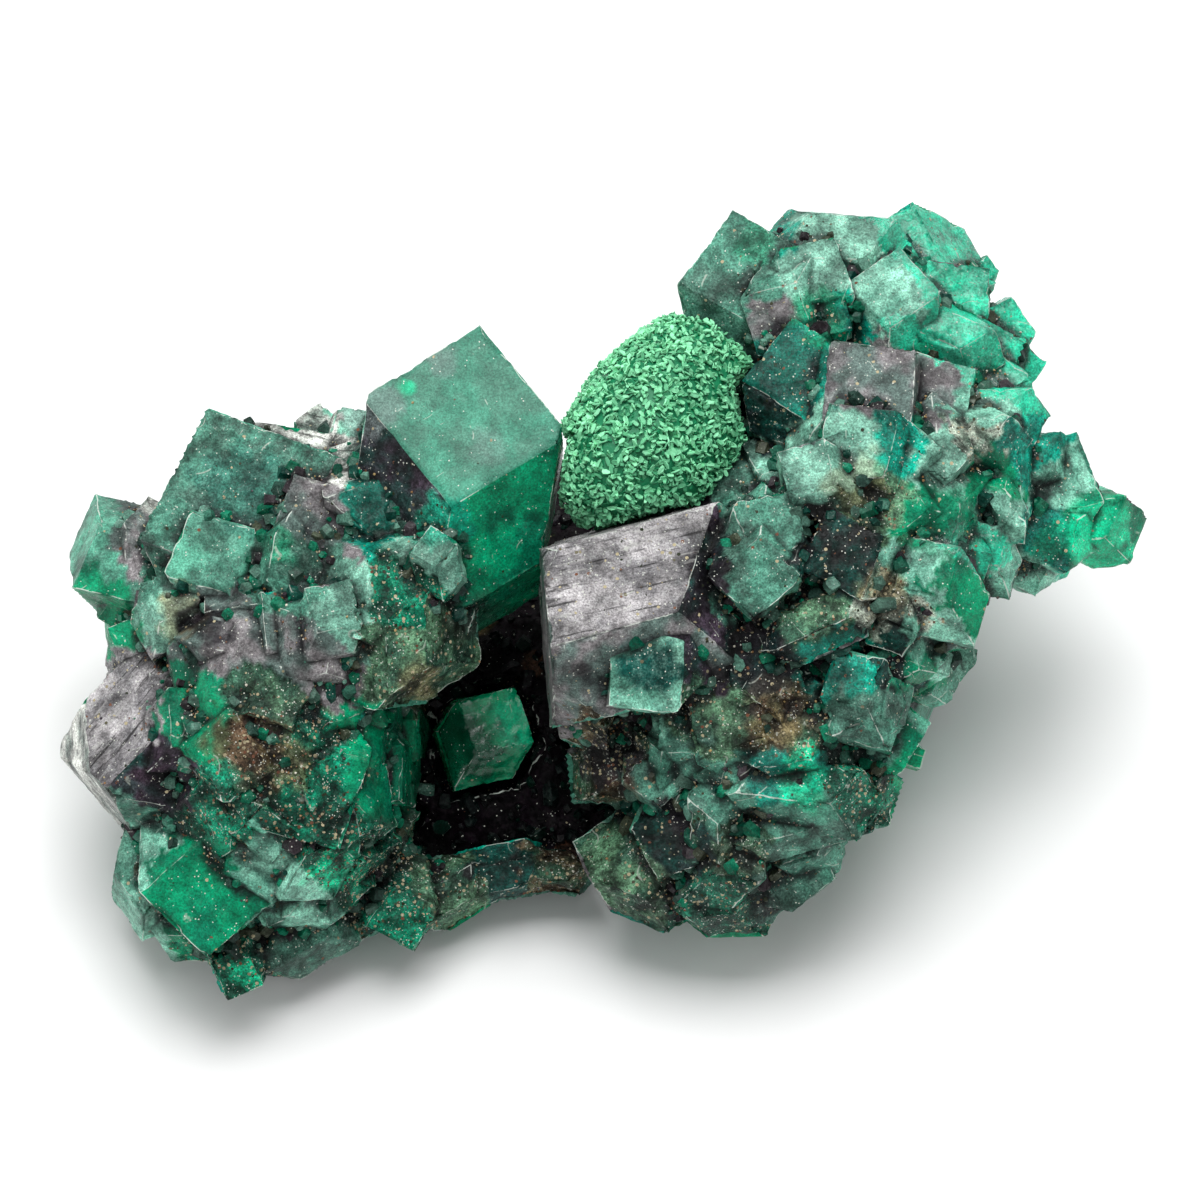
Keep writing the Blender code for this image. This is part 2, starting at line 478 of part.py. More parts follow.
def main():
    for old in list(bpy.data.objects):
        bpy.data.objects.remove(old)
    specimen = collection("dioptase_specimen")
    helpers = collection("cutters", hidden=True)
    ground = as_cutter(ground_block(helpers))

    luck = random.Random(REAR_SEED)
    left_rows = LEFT_CRYSTALS | spread_crystals(LEFT_MASS, LEFT_OVAL, LEFT_REAR_COUNT, luck)
    right_rows = RIGHT_CRYSTALS | spread_crystals(RIGHT_MASS, RIGHT_OVAL, RIGHT_REAR_COUNT, luck)

    left = group("left_crystal_group", left_rows, LEFT_MASS, specimen)
    right = group("right_crystal_group", right_rows, RIGHT_MASS, specimen)
    recess = crystal("recess_crystal", RECESS_CRYSTAL, specimen)

    rooms = collection("rooms", hidden=True)
    left_room = as_cutter(group("left_room", left_rows, LEFT_MASS, rooms, grow=CLEARANCE))
    keep_largest(apply_boolean(right, left_room, "DIFFERENCE"))
    as_cutter(group("right_room", right_rows, RIGHT_MASS, rooms, grow=CLEARANCE))

    lean = Matrix.Rotation(FRONT_ELEVATION - math.pi / 2, 3, "X") @ Matrix.Rotation(DRUSE_LEAN, 3, "Z")
    druse_place = tuple(on_base(*DRUSE_MIDDLE))
    druse = lump("green_druse", druse_place, DRUSE_SIZES, lean, DRUSE_LUMP, specimen, taper=DRUSE_TAPER)
    keep_largest(apply_boolean(druse, rooms, "DIFFERENCE"))

    as_cutter(crystal("recess_crystal_room", RECESS_CRYSTAL, rooms, grow=CLEARANCE))
    as_cutter(
        lump("druse_room", druse_place, DRUSE_SIZES, lean, DRUSE_LUMP, rooms, CLEARANCE, DRUSE_TAPER)
    )
    middle, sizes, turn = MATRIX_MASS
    matrix = lump("matrix", middle, sizes, seen_from_above(turn), MATRIX_LUMP, specimen)
    keep_largest(apply_boolean(matrix, rooms, "DIFFERENCE"))

    pieces = [left, right, matrix, druse, recess]
    for piece in pieces:
        stood_on_base(piece, ground)
    centre_on_base(pieces)

    green = finish("dioptase", *GREEN)
    finishes = (green, green, finish("matrix_rock", *ROCK), finish("druse", *LIME), green)
    for piece, material in zip(pieces, finishes):
        piece.data.materials.clear()
        piece.data.materials.append(material)


main()
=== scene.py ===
import math
import random

import bmesh
import bpy
import numpy as np
from mathutils import Matrix, Vector, noise
from mathutils.kdtree import KDTree


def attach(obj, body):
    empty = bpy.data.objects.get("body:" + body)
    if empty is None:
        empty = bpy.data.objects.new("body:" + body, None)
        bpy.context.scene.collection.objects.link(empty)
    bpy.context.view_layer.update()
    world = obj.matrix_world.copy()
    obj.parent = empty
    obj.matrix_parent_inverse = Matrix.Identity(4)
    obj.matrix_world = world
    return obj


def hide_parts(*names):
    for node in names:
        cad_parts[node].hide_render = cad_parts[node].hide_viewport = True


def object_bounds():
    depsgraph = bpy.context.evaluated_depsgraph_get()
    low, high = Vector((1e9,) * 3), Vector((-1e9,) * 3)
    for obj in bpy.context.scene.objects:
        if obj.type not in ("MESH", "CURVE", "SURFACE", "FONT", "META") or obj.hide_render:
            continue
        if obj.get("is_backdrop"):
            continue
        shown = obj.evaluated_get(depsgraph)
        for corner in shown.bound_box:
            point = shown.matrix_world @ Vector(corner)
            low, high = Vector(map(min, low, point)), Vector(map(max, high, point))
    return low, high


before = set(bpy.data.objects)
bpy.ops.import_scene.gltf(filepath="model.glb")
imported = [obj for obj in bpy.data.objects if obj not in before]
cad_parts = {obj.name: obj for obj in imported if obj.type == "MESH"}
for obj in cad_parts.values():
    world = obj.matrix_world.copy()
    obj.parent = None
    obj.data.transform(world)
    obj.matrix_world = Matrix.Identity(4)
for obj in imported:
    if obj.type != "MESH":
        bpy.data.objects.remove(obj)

cad_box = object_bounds()

# Left crystal group
# The left lobe of the specimen: stout dioptase crystals grown into one another on a foot of dark rock.
# Their faces are pitted and chipped, made pale where light falls on them, partly by frost and partly by
# painted sheen, and darkened by painted shade in the hollows.
MM = 0.001
ELEVATION = math.radians(60)
MIDDLE_UP = 6.43 * MM
MIDDLE_ACROSS = -0.28 * MM
VIEW_RIGHT = np.array((1.0, 0.0, 0.0))
VIEW_UP = np.array((0.0, math.sin(ELEVATION), math.cos(ELEVATION)))
TOWARD_VIEW = np.array((0.0, -math.cos(ELEVATION), math.sin(ELEVATION)))

# Each look: its two colours, roughness, frosting (paleness that is partly frost and partly painted sheen),
# grains, grooves, mottling, how deep it is broken in millimetres, and whether light passes through
LOOKS = {
    "star": ((0.050, 0.250, 0.165), (0.066, 0.222, 0.155), 0.42, 0.16, 0.08, 0.02, 0.18, 0.00, False),
    "deep": ((0.000, 0.230, 0.105), (0.001, 0.135, 0.070), 0.30, 0.00, 0.16, 0.02, 0.40, 0.05, False),
    "teal": ((0.001, 0.280, 0.190), (0.006, 0.130, 0.095), 0.34, 0.03, 0.34, 0.04, 0.70, 0.10, False),
    "mint_grey": ((0.075, 0.290, 0.198), (0.060, 0.200, 0.142), 0.42, 0.25, 0.14, 0.06, 0.50, 0.10, False),
    "grey_green": ((0.060, 0.205, 0.145), (0.045, 0.115, 0.086), 0.44, 0.22, 0.22, 0.08, 0.65, 0.12, False),
    "silver_green": ((0.180, 0.410, 0.310), (0.095, 0.250, 0.185), 0.42, 0.30, 0.22, 0.08, 0.60, 0.14, False),
    "violet": ((0.180, 0.166, 0.172), (0.085, 0.130, 0.116), 0.44, 0.15, 0.24, 0.10, 0.55, 0.08, False),
    "dark_violet": ((0.040, 0.028, 0.042), (0.010, 0.042, 0.036), 0.50, 0.03, 0.35, 0.06, 0.90, 0.14, False),
    "pale": ((0.200, 0.480, 0.360), (0.095, 0.300, 0.215), 0.38, 0.40, 0.18, 0.12, 0.60, 0.14, False),
    "white_rim": ((0.560, 0.570, 0.530), (0.110, 0.145, 0.125), 0.36, 0.60, 0.10, 0.90, 0.85, 0.08, False),
    "olive": ((0.080, 0.180, 0.100), (0.024, 0.075, 0.046), 0.50, 0.15, 0.65, 0.05, 1.00, 0.34, False),
    "gritty": ((0.420, 0.480, 0.390), (0.090, 0.160, 0.115), 0.45, 0.50, 0.90, 0.05, 1.00, 0.26, False),
    "rusty": ((0.030, 0.085, 0.048), (0.090, 0.066, 0.038), 0.50, 0.10, 1.00, 0.03, 1.00, 0.38, False),
    "striated": ((0.330, 0.315, 0.322), (0.165, 0.158, 0.166), 0.30, 0.15, 0.42, 1.00, 0.60, 0.05, False),
    "sparkling": ((0.002, 0.200, 0.108), (0.008, 0.072, 0.044), 0.32, 0.06, 0.85, 0.02, 1.00, 0.30, False),
    "dark": ((0.004, 0.046, 0.036), (0.012, 0.014, 0.014), 0.42, 0.00, 0.40, 0.04, 0.95, 0.28, False),
    "rock": ((0.0010, 0.0002, 0.0010), (0.0040, 0.0015, 0.0035), 0.45, 0.00, 0.12, 0.02, 0.90, 0.45, False),
    "glass": ((0.010, 0.680, 0.400), (0.050, 0.470, 0.300), 0.20, 0.12, 0.10, 0.06, 0.50, 0.10, True),
    "gem": ((0.000, 0.440, 0.190), (0.000, 0.200, 0.080), 0.10, 0.00, 0.15, 0.02, 0.12, 0.16, True),
}
REAR_LOOKS = (
    "grey_green", "deep", "mint_grey", "teal", "violet", "star", "sparkling", "pale", "olive", "deep",
)

# The faces that the front shows: across and up in millimetres from the middle of the front view, the look,
# and the angle of its grooves in degrees. Each look follows how pale or deep the face shows under the light,
# so the looks partly paint sheen on faces turned to the light and shade on faces turned away.
LEFT_FACES = (
    (-27.5, 3.6, "mint_grey", 80), (-27.2, -0.3, "deep", 80), (-25.0, 3.0, "violet", 60),
    (-24.4, 1.4, "grey_green", 60), (-23.4, 6.4, "white_rim", 70), (-19.4, 5.6, "grey_green", 20),
    (-15.8, 9.3, "white_rim", 160), (-13.6, 8.6, "white_rim", 160), (-21.3, 2.8, "mint_grey", 100),
    (-15.7, 4.8, "violet", 60), (-12.0, 5.5, "teal", 130), (-7.5, 10.4, "star", 35),
    (-3.6, 6.2, "deep", 60), (-8.2, 4.8, "teal", 100), (-4.4, 3.4, "deep", 80),
    (-11.8, 10.6, "dark_violet", 130), (-10.2, 6.8, "dark_violet", 130), (-13.6, 9.8, "pale", 60),
    (-8.9, 2.7, "silver_green", 40), (-14.4, -0.4, "silver_green", 20), (-16.4, 1.0, "grey_green", 90),
    (-10.4, 0.4, "sparkling", 80), (-10.6, -2.8, "olive", 80), (-16.0, -2.6, "violet", 30),
    (-23.7, 0.4, "silver_green", 45), (-20.6, -1.8, "violet", 170), (-25.6, -5.4, "striated", 52),
    (-28.4, -11.0, "white_rim", 110), (-26.2, -12.6, "pale", 100), (-21.8, -6.2, "deep", 45),
    (-24.4, -9.4, "dark_violet", 30), (-18.6, -7.6, "rusty", 30), (-20.4, -10.6, "sparkling", 30),
    (-15.6, -9.0, "sparkling", 60), (-15.2, -13.2, "sparkling", 20), (-12.4, -8.4, "deep", 80),
    (-21.6, -15.6, "deep", 80), (-17.4, -15.4, "pale", 60), (-26.6, -16.4, "pale", 110),
    (-19.4, -20.2, "sparkling", 60), (-15.4, -19.2, "grey_green", 30), (-11.4, -16.4, "sparkling", 90),
    (-8.4, -15.4, "olive", 60), (-5.4, -14.4, "dark", 20), (-2.6, -14.2, "rusty", 20),
    (-18.0, -6.0, "olive", 60),
)

# Spots over the faces: stains, near-black patches, painted glow where light seems to pass through the
# crystal, and painted sheen. Each has across, up, radius in millimetres, strength and colour
RUST = (0.120, 0.056, 0.032)
OCHRE = (0.260, 0.190, 0.085)
PLUM = (0.030, 0.012, 0.024)
BLACK = (0.004, 0.003, 0.006)
EMERALD = (0.002, 0.200, 0.100)
DEEP_TEAL = (0.001, 0.070, 0.055)
# Painted glow: light that seems to pass through clear crystal.
PAINTED_GLOW = (0.005, 0.560, 0.280)
TURQUOISE = (0.001, 0.320, 0.200)
# A pale grey-green, partly frost and partly painted sheen.
VEIL_AND_SHEEN = (0.150, 0.185, 0.180)
LEFT_STAINS_AND_PAINTED_LIGHT = (
    (-18.8, -7.6, 1.9, 0.75, RUST), (-17.0, -8.8, 1.4, 0.5, OCHRE), (-18.6, -10.0, 1.2, 0.4, RUST),
    (-22.4, -0.8, 1.4, 0.6, OCHRE), (-9.6, -4.6, 1.4, 0.45, OCHRE), (-6.6, -1.0, 1.4, 0.5, PLUM),
    (-17.4, 3.4, 1.3, 0.7, EMERALD), (-10.4, 11.6, 0.5, 0.9, PAINTED_GLOW), (-14.0, -14.2, 1.6, 0.6, PAINTED_GLOW),
    (-19.2, -20.3, 1.0, 0.7, PAINTED_GLOW), (-19.4, 5.8, 2.8, 0.55, DEEP_TEAL), (-21.4, -1.1, 1.4, 0.9, BLACK),
    (-25.0, -10.4, 2.0, 0.5, PLUM), (-8.6, 4.2, 1.4, 0.8, TURQUOISE), (-12.2, 10.2, 1.6, 0.6, VEIL_AND_SHEEN),
    (-8.8, 13.0, 1.1, 0.5, VEIL_AND_SHEEN), (-6.2, 8.2, 1.2, 0.35, VEIL_AND_SHEEN), (-11.8, -13.4, 2.2, 0.6, BLACK),
    (-9.0, -11.8, 2.2, 0.7, BLACK), (-23.2, -11.4, 1.6, 0.5, BLACK),
)

# The mesh: the edge length that dividing starts from and ends at, the distance that joins corners, and the
# angles of a flat and a sharp edge
FIRST_EDGE = 8 * MM
LONGEST_EDGE = 0.36 * MM
WELD = 0.002 * MM
FLAT = math.radians(0.6)
SHARP = math.radians(27)

# The wear, in millimetres: pits, chips on the edges, and the size and share of the two kinds of breaks
PIT = 0.18
CHIP = 0.30
BREAKS = ((1.5, 0.55), (0.7, 0.45))

# How strongly a bend of the surface counts as an edge, a crevice or a wide hollow, and how far hollows run
EDGE_GAIN = 3.2
CREVICE_GAIN = 3.6
HOLLOW_GAIN = 14
SMOOTHING = 7

# A face larger than this, in square millimetres, has one look. A face is in front, and stain and glow spots
# show on it, where its normal points this much toward the view. Faces of one look differ a little in shade.
LARGE_FACE = 14.0
FRONT_FACING = -0.05
STAIN_AND_GLOW_FACING = 0.1
SHADES = (0.88, 1.12)

# How dioptase meets light: its refraction, its shine, and what the clear crystals pass and take up
REFRACTION = 1.66
SHINE = 0.11
CLEAR_SHINE = 0.25
PASSES = 0.35
THINNING = {"Color": (0.10, 0.85, 0.55, 1), "Density": 220.0}


class Value:
    """A socket of a finish's nodes. An expression on it adds Math nodes."""

    def __init__(self, finish, socket):
        self.finish = finish
        self.socket = socket

    def other(self, output):
        return Value(self.finish, self.socket.node.outputs[output])

    def maths(self, operation, *values):
        return self.finish.node("ShaderNodeMath", {"operation": operation}, dict(enumerate(values)))

    def __add__(self, other):
        return self.maths("ADD", self, other)

    def __radd__(self, other):
        return self.maths("ADD", other, self)

    def __sub__(self, other):
        return self.maths("SUBTRACT", self, other)

    def __rsub__(self, other):
        return self.maths("SUBTRACT", other, self)

    def __mul__(self, other):
        return self.maths("MULTIPLY", self, other)

    def __rmul__(self, other):
        return self.maths("MULTIPLY", other, self)

    def __gt__(self, other):
        return self.maths("GREATER_THAN", self, other)

    def __lt__(self, other):
        return self.maths("LESS_THAN", self, other)

    def __abs__(self):
        return self.maths("ABSOLUTE", self)

    def ramp(self, low, high):
        """0 below low and 1 above high, with a soft step between."""
        ends = {"Value": self, "From Min": low, "From Max": high}
        return self.finish.node("ShaderNodeMapRange", {"interpolation_type": "SMOOTHSTEP"}, ends)


class Finish:
    """The nodes of one finish."""

    def __init__(self, name):
        self.material = bpy.data.materials.new(name)
        self.material.use_nodes = True
        self.tree = self.material.node_tree
        self.tree.nodes.clear()

    def node(self, kind, settings=None, values=None, give=0):
        made = self.tree.nodes.new(kind)
        for key, value in (settings or {}).items():
            setattr(made, key, value)
        for key, value in (values or {}).items():
            if isinstance(value, Value):
                self.tree.links.new(value.socket, made.inputs[key])
            else:
                made.inputs[key].default_value = value
        return Value(self, made.outputs[give]) if made.outputs else None

    def mix(self, factor, first, second):
        colours = {0: factor, 6: first, 7: second}
        return self.node("ShaderNodeMix", {"data_type": "RGBA"}, colours, give=2)

    def scaled(self, colour, factor):
        return self.node("ShaderNodeVectorMath", {"operation": "SCALE"}, {0: colour, "Scale": factor})

    def vectors(self, operation, first, second, give=0):
        return self.node("ShaderNodeVectorMath", {"operation": operation}, {0: first, 1: second}, give)

    def clouds(self, place, size, detail=4.0, roughness=0.55):
        """Cloudy variation from 0 to 1, with patches about size millimetres across."""
        values = {"Vector": place, "Scale": 1 / (size * MM), "Detail": detail, "Roughness": roughness}
        return self.node("ShaderNodeTexNoise", None, values)

    def cells(self, place, size):
        """Small cells about size millimetres across: the distance to each middle, and a colour for each."""
        return self.node("ShaderNodeTexVoronoi", None, {"Vector": place, "Scale": 1 / (size * MM)})

    def facets(self, place, cells):
        """The height in millimetres of small breaks, where each cell is a plane of its own tilt."""
        away = self.vectors("SUBTRACT", place, cells.other(2))
        tilt = self.vectors("SUBTRACT", cells.other(1), (0.5, 0.5, 0.5))
        return self.vectors("DOT_PRODUCT", away, tilt, give=1) * (1 / MM)


def in_front_view(places):
    """Across and up in millimetres from the middle of the front view."""
    return (places @ VIEW_RIGHT - MIDDLE_ACROSS) / MM, (places @ VIEW_UP - MIDDLE_UP) / MM


def merged_copy(node):
    """The CAD node's surface with its flat faces whole, each with a number of its own."""
    shape = bmesh.new()
    shape.from_mesh(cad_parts[node].data)
    bmesh.ops.remove_doubles(shape, verts=shape.verts, dist=WELD)
    bmesh.ops.dissolve_limit(shape, angle_limit=FLAT, verts=shape.verts, edges=shape.edges)
    number = shape.faces.layers.int.new("growth_face")
    for index, face in enumerate(shape.faces):
        face[number] = index
    return shape


def divide(shape, longest):
    """Splits every edge until none is longer than longest, and turns edges for even triangles."""
    number = shape.faces.layers.int["growth_face"]
    bmesh.ops.triangulate(shape, faces=shape.faces[:])
    limit = FIRST_EDGE
    while True:
        long_edges = [edge for edge in shape.edges if edge.calc_length() > limit]
        if long_edges:
            bmesh.ops.subdivide_edges(shape, edges=long_edges, cuts=1)
            many = [face for face in shape.faces if len(face.verts) > 3]
            bmesh.ops.triangulate(shape, faces=many)
        if limit <= longest:
            break
        limit = max(limit / 1.5, longest)
        inner = [
            edge
            for edge in shape.edges
            if len(edge.link_faces) == 2 and edge.link_faces[0][number] == edge.link_faces[1][number]
        ]
        if limit > 2 * longest:
            bmesh.ops.beautify_fill(shape, faces=shape.faces[:], edges=inner)


def as_mesh(name, shape):
    mesh = bpy.data.meshes.new(name)
    shape.to_mesh(mesh)
    shape.free()
    return mesh


def field(mesh, name, values):
    """Keeps a row of four or three values at each corner of the mesh, for its finish to read."""
    kind, key = ("FLOAT_COLOR", "color") if len(values[0]) == 4 else ("FLOAT_VECTOR", "vector")
    made = mesh.attributes.new(name, kind, "CORNER")
    made.data.foreach_set(key, np.ascontiguousarray(values, np.float32).ravel())


def cloud_at(places, size, seed, octaves=3):
    """Cloudy variation at each place, about -1 to 1, with patches about size millimetres across."""
    shift = Vector((seed * 3.1, seed * 7.7, seed * 1.3))
    scaled = (places / (size * MM)).tolist()
    return np.array([noise.fractal(Vector(place) + shift, 0.9, 2.0, octaves) for place in scaled])


def soft_step(values, low, high):
    share = np.clip((values - low) / (high - low), 0, 1)
    return share * share * (3 - 2 * share)


class Surface:
    """A finely divided mesh as arrays: its places, triangles, growth faces and how its surface bends."""

    def __init__(self, mesh):
        self.mesh = mesh
        self.places = np.zeros(len(mesh.vertices) * 3)
        mesh.vertices.foreach_get("co", self.places)
        self.places = self.places.reshape(-1, 3)
        self.corners = np.zeros(len(mesh.loops), int)
        mesh.loops.foreach_get("vertex_index", self.corners)
        self.triangles = self.corners.reshape(-1, 3)
        self.faces = np.zeros(len(mesh.polygons), int)
        mesh.attributes["growth_face"].data.foreach_get("value", self.faces)
        first, second, third = (self.places[self.triangles[:, i]] for i in range(3))
        self.middles = (first + second + third) / 3
        across = np.cross(second - first, third - first)
        count = self.faces.max() + 1
        self.areas = np.linalg.norm(across, axis=1) / 2
        self.face_area = np.bincount(self.faces, self.areas, count) + 1e-15
        self.face_normal = self.gathered(self.faces, across, count)
        self.face_normal /= np.linalg.norm(self.face_normal, axis=1)[:, None] + 1e-15
        self.face_middle = self.gathered(self.faces, self.middles * self.areas[:, None], count)
        self.face_middle /= self.face_area[:, None]
        pairs = np.unique(self.corners * count + np.repeat(self.faces, 3))
        self.normals = self.gathered(pairs // count, self.face_normal[pairs % count], len(self.places))
        self.normals /= np.linalg.norm(self.normals, axis=1)[:, None] + 1e-15
        self.edges = np.zeros(len(mesh.edges) * 2, int)
        mesh.edges.foreach_get("vertices", self.edges)
        self.edges = self.edges.reshape(-1, 2)
        offsets = np.repeat(self.middles, 3, axis=0) - self.places[self.corners]
        offsets /= np.linalg.norm(offsets, axis=1)[:, None] + 1e-15
        rise = np.einsum("ij,ij->i", offsets, self.normals[self.corners])
        total = np.bincount(self.corners, rise, len(self.places))
        self.bend = total / np.bincount(self.corners, minlength=len(self.places))

    @staticmethod
    def gathered(keys, rows, count):
        return np.stack([np.bincount(keys, rows[:, i], count) for i in range(3)], axis=1)

    def spread(self, values, rounds):
        """Lets values run into their neighbours."""
        size = len(self.places)
        one, two = self.edges[:, 0], self.edges[:, 1]
        share = np.bincount(one, minlength=size) + np.bincount(two, minlength=size) + 1.0
        for _ in range(rounds):
            near = np.bincount(one, values[two], size) + np.bincount(two, values[one], size)
            values = (values + near) / share
        return values


def look_of_corners(surface, rows, rear, wander, luck):
    """The look at each corner and the groove angle of each face. Large faces have one look, and small ones in
    front run together. Behind, each face has a seeded look."""
    names = list(LOOKS)
    spots = np.array([row[:2] for row in rows])
    kinds = np.array([names.index(row[2]) for row in rows])
    angles = np.array([row[3] for row in rows], float)

    def nearest(across, up):
        return np.hypot(across[:, None] - spots[:, 0], up[:, None] - spots[:, 1]).argmin(axis=1)

    own = nearest(*in_front_view(surface.face_middle))
    front = surface.face_normal @ TOWARD_VIEW > FRONT_FACING
    rear_kinds = np.array([names.index(luck.choice(rear)) for _ in own])
    rear_angles = np.array([luck.uniform(0, 180) for _ in own])
    across, up = in_front_view(surface.places)
    run = nearest(across + wander, up - wander)[surface.corners]
    face = np.repeat(surface.faces, 3)
    row = np.where(surface.face_area[face] < LARGE_FACE * MM * MM, run, own[face])
    return np.where(front[face], kinds[row], rear_kinds[face]), np.where(front, angles[own], rear_angles)


def stained_and_lit(colours, across, up, facing, wander, stains_and_light):
    """Lays spots of stain, painted glow and painted sheen over the colours, with ragged edges, on what the
    front shows.
    """
    for spot_across, spot_up, radius, strength, colour in stains_and_light:
        away = np.hypot(across - spot_across, up - spot_up) / radius + 0.45 * wander
        share = strength * soft_step(1.15 - away, 0, 0.5) * (facing > STAIN_AND_GLOW_FACING)
        colours = colours + (np.array(colour) - colours) * share[:, None]
    return colours


def broken_at(places, size, luck):
    """Stepped breaks from 0 to 1: each cell, about size millimetres across, is a plane of its own tilt."""
    count = max(int(len(places) * (LONGEST_EDGE * 0.8 / (size * MM)) ** 2), 8)
    middles = [places[index] for index in luck.sample(range(len(places)), min(count, len(places)))]
    tree = KDTree(len(middles))
    for index, middle in enumerate(middles):
        tree.insert(middle, index)
    tree.balance()
    tilts = np.array([[luck.gauss(0, 1) for _ in range(3)] for _ in middles])
    own = np.array([tree.find(place)[1] for place in places.tolist()])
    away = (places - np.array(middles)[own]) / (size * MM)
    return np.clip(0.5 + 0.45 * np.einsum("ij,ij->i", away, tilts[own]), 0, 1)


def dress(surface, rows, stains_and_light, seed, rear):
    """Breaks, pits and chips the surface inward, and keeps its colours, darkened by painted shade in the
    hollows, and its marks on the mesh.
    """
    luck = random.Random(seed)
    mesh = surface.mesh
    face = np.repeat(surface.faces, 3)
    corner = surface.corners

    wide = cloud_at(surface.places, 2.4, seed)
    fine = cloud_at(surface.places, 0.9, seed + 5)
    kind, angles = look_of_corners(surface, rows, rear, wide + 0.6 * fine, luck)
    first = np.array([look[0] for look in LOOKS.values()])
    second = np.array([look[1] for look in LOOKS.values()])
    numbers = np.array([look[2:] for look in LOOKS.values()], float)
    shade = np.array([luck.uniform(*SHADES) for _ in surface.face_area])
    edge = np.clip(-surface.bend * EDGE_GAIN, 0, 1)
    # How much painted shade each crevice gets in the finish.
    crevice = np.clip(surface.bend * CREVICE_GAIN, 0, 1)
    hollow = np.clip(surface.spread(surface.bend, SMOOTHING) * HOLLOW_GAIN, -1, 1)

    across, up = in_front_view(surface.places)
    facing = surface.normals @ TOWARD_VIEW
    mottle = soft_step(wide + 0.5 * fine, -0.25, 0.45)[corner][:, None]
    colours = (first[kind] * (1 - mottle) + second[kind] * mottle) * shade[face][:, None]
    colours = stained_and_lit(colours, across[corner], up[corner], facing[corner], (wide + fine)[corner], stains_and_light)
    # Painted shade: the hollows are darkened toward black.
    hollow_shade = (soft_step(hollow + 0.30 * fine, 0.12, 0.70) * 0.85)[corner][:, None]
    colours = colours * (1 - hollow_shade) + np.array(BLACK) * hollow_shade

    grains = np.clip(numbers[kind, 2] + 0.35 * np.clip(hollow, 0, 1)[corner], 0, 1)
    field(mesh, "tint", np.column_stack([colours, np.ones(len(face))]))
    skin = np.stack([numbers[kind, 0], numbers[kind, 1], grains, crevice[corner]], axis=1)
    field(mesh, "skin", skin)
    marks = np.stack([numbers[kind, 3], numbers[kind, 4], edge[corner], np.ones(len(face))], axis=1)
    field(mesh, "marks", marks)

    angles = np.radians(angles)
    along = np.cos(angles)[:, None] * VIEW_RIGHT + np.sin(angles)[:, None] * VIEW_UP
    along -= surface.face_normal * np.einsum("ij,ij->i", along, surface.face_normal)[:, None]
    along /= np.linalg.norm(along, axis=1)[:, None] + 1e-9
    beside = np.cross(surface.face_normal, along)
    place = surface.places[corner]
    groove_across = np.einsum("ij,ij->i", place, beside[face])
    groove_along = np.einsum("ij,ij->i", place, along[face])
    groove = np.column_stack([groove_across, groove_along, face * 0.01])
    field(mesh, "groove", groove)

    size = len(surface.places)
    broken = np.bincount(corner, numbers[kind, 5], size) / np.bincount(corner, minlength=size)
    depth = broken * sum(share * broken_at(surface.places, wide_by, luck) for wide_by, share in BREAKS)
    depth += (0.3 * PIT + 0.4 * broken) * (0.5 + 0.5 * np.clip(wide * 0.6 + fine, -1, 1))
    chips = soft_step(cloud_at(surface.places, 1.6, seed + 9, 2), -0.1, 0.5)
    depth += (CHIP + 0.8 * broken) * edge * chips
    moved = surface.places - surface.normals * depth[:, None] * MM
    moved[:, 2] = np.maximum(moved[:, 2], 0)
    mesh.vertices.foreach_set("co", moved.astype(np.float32).ravel())
    mesh.polygons.foreach_set("use_smooth", np.ones(len(mesh.polygons), bool))
    mesh.set_sharp_from_angle(angle=SHARP)
    mesh.polygons.foreach_set("material_index", numbers[kind[::3], 6].astype(np.int32))
    mesh.update()
    surface.places = moved
    surface.hollow = hollow
    surface.grains = grains.reshape(-1, 3).mean(axis=1)
    return surface


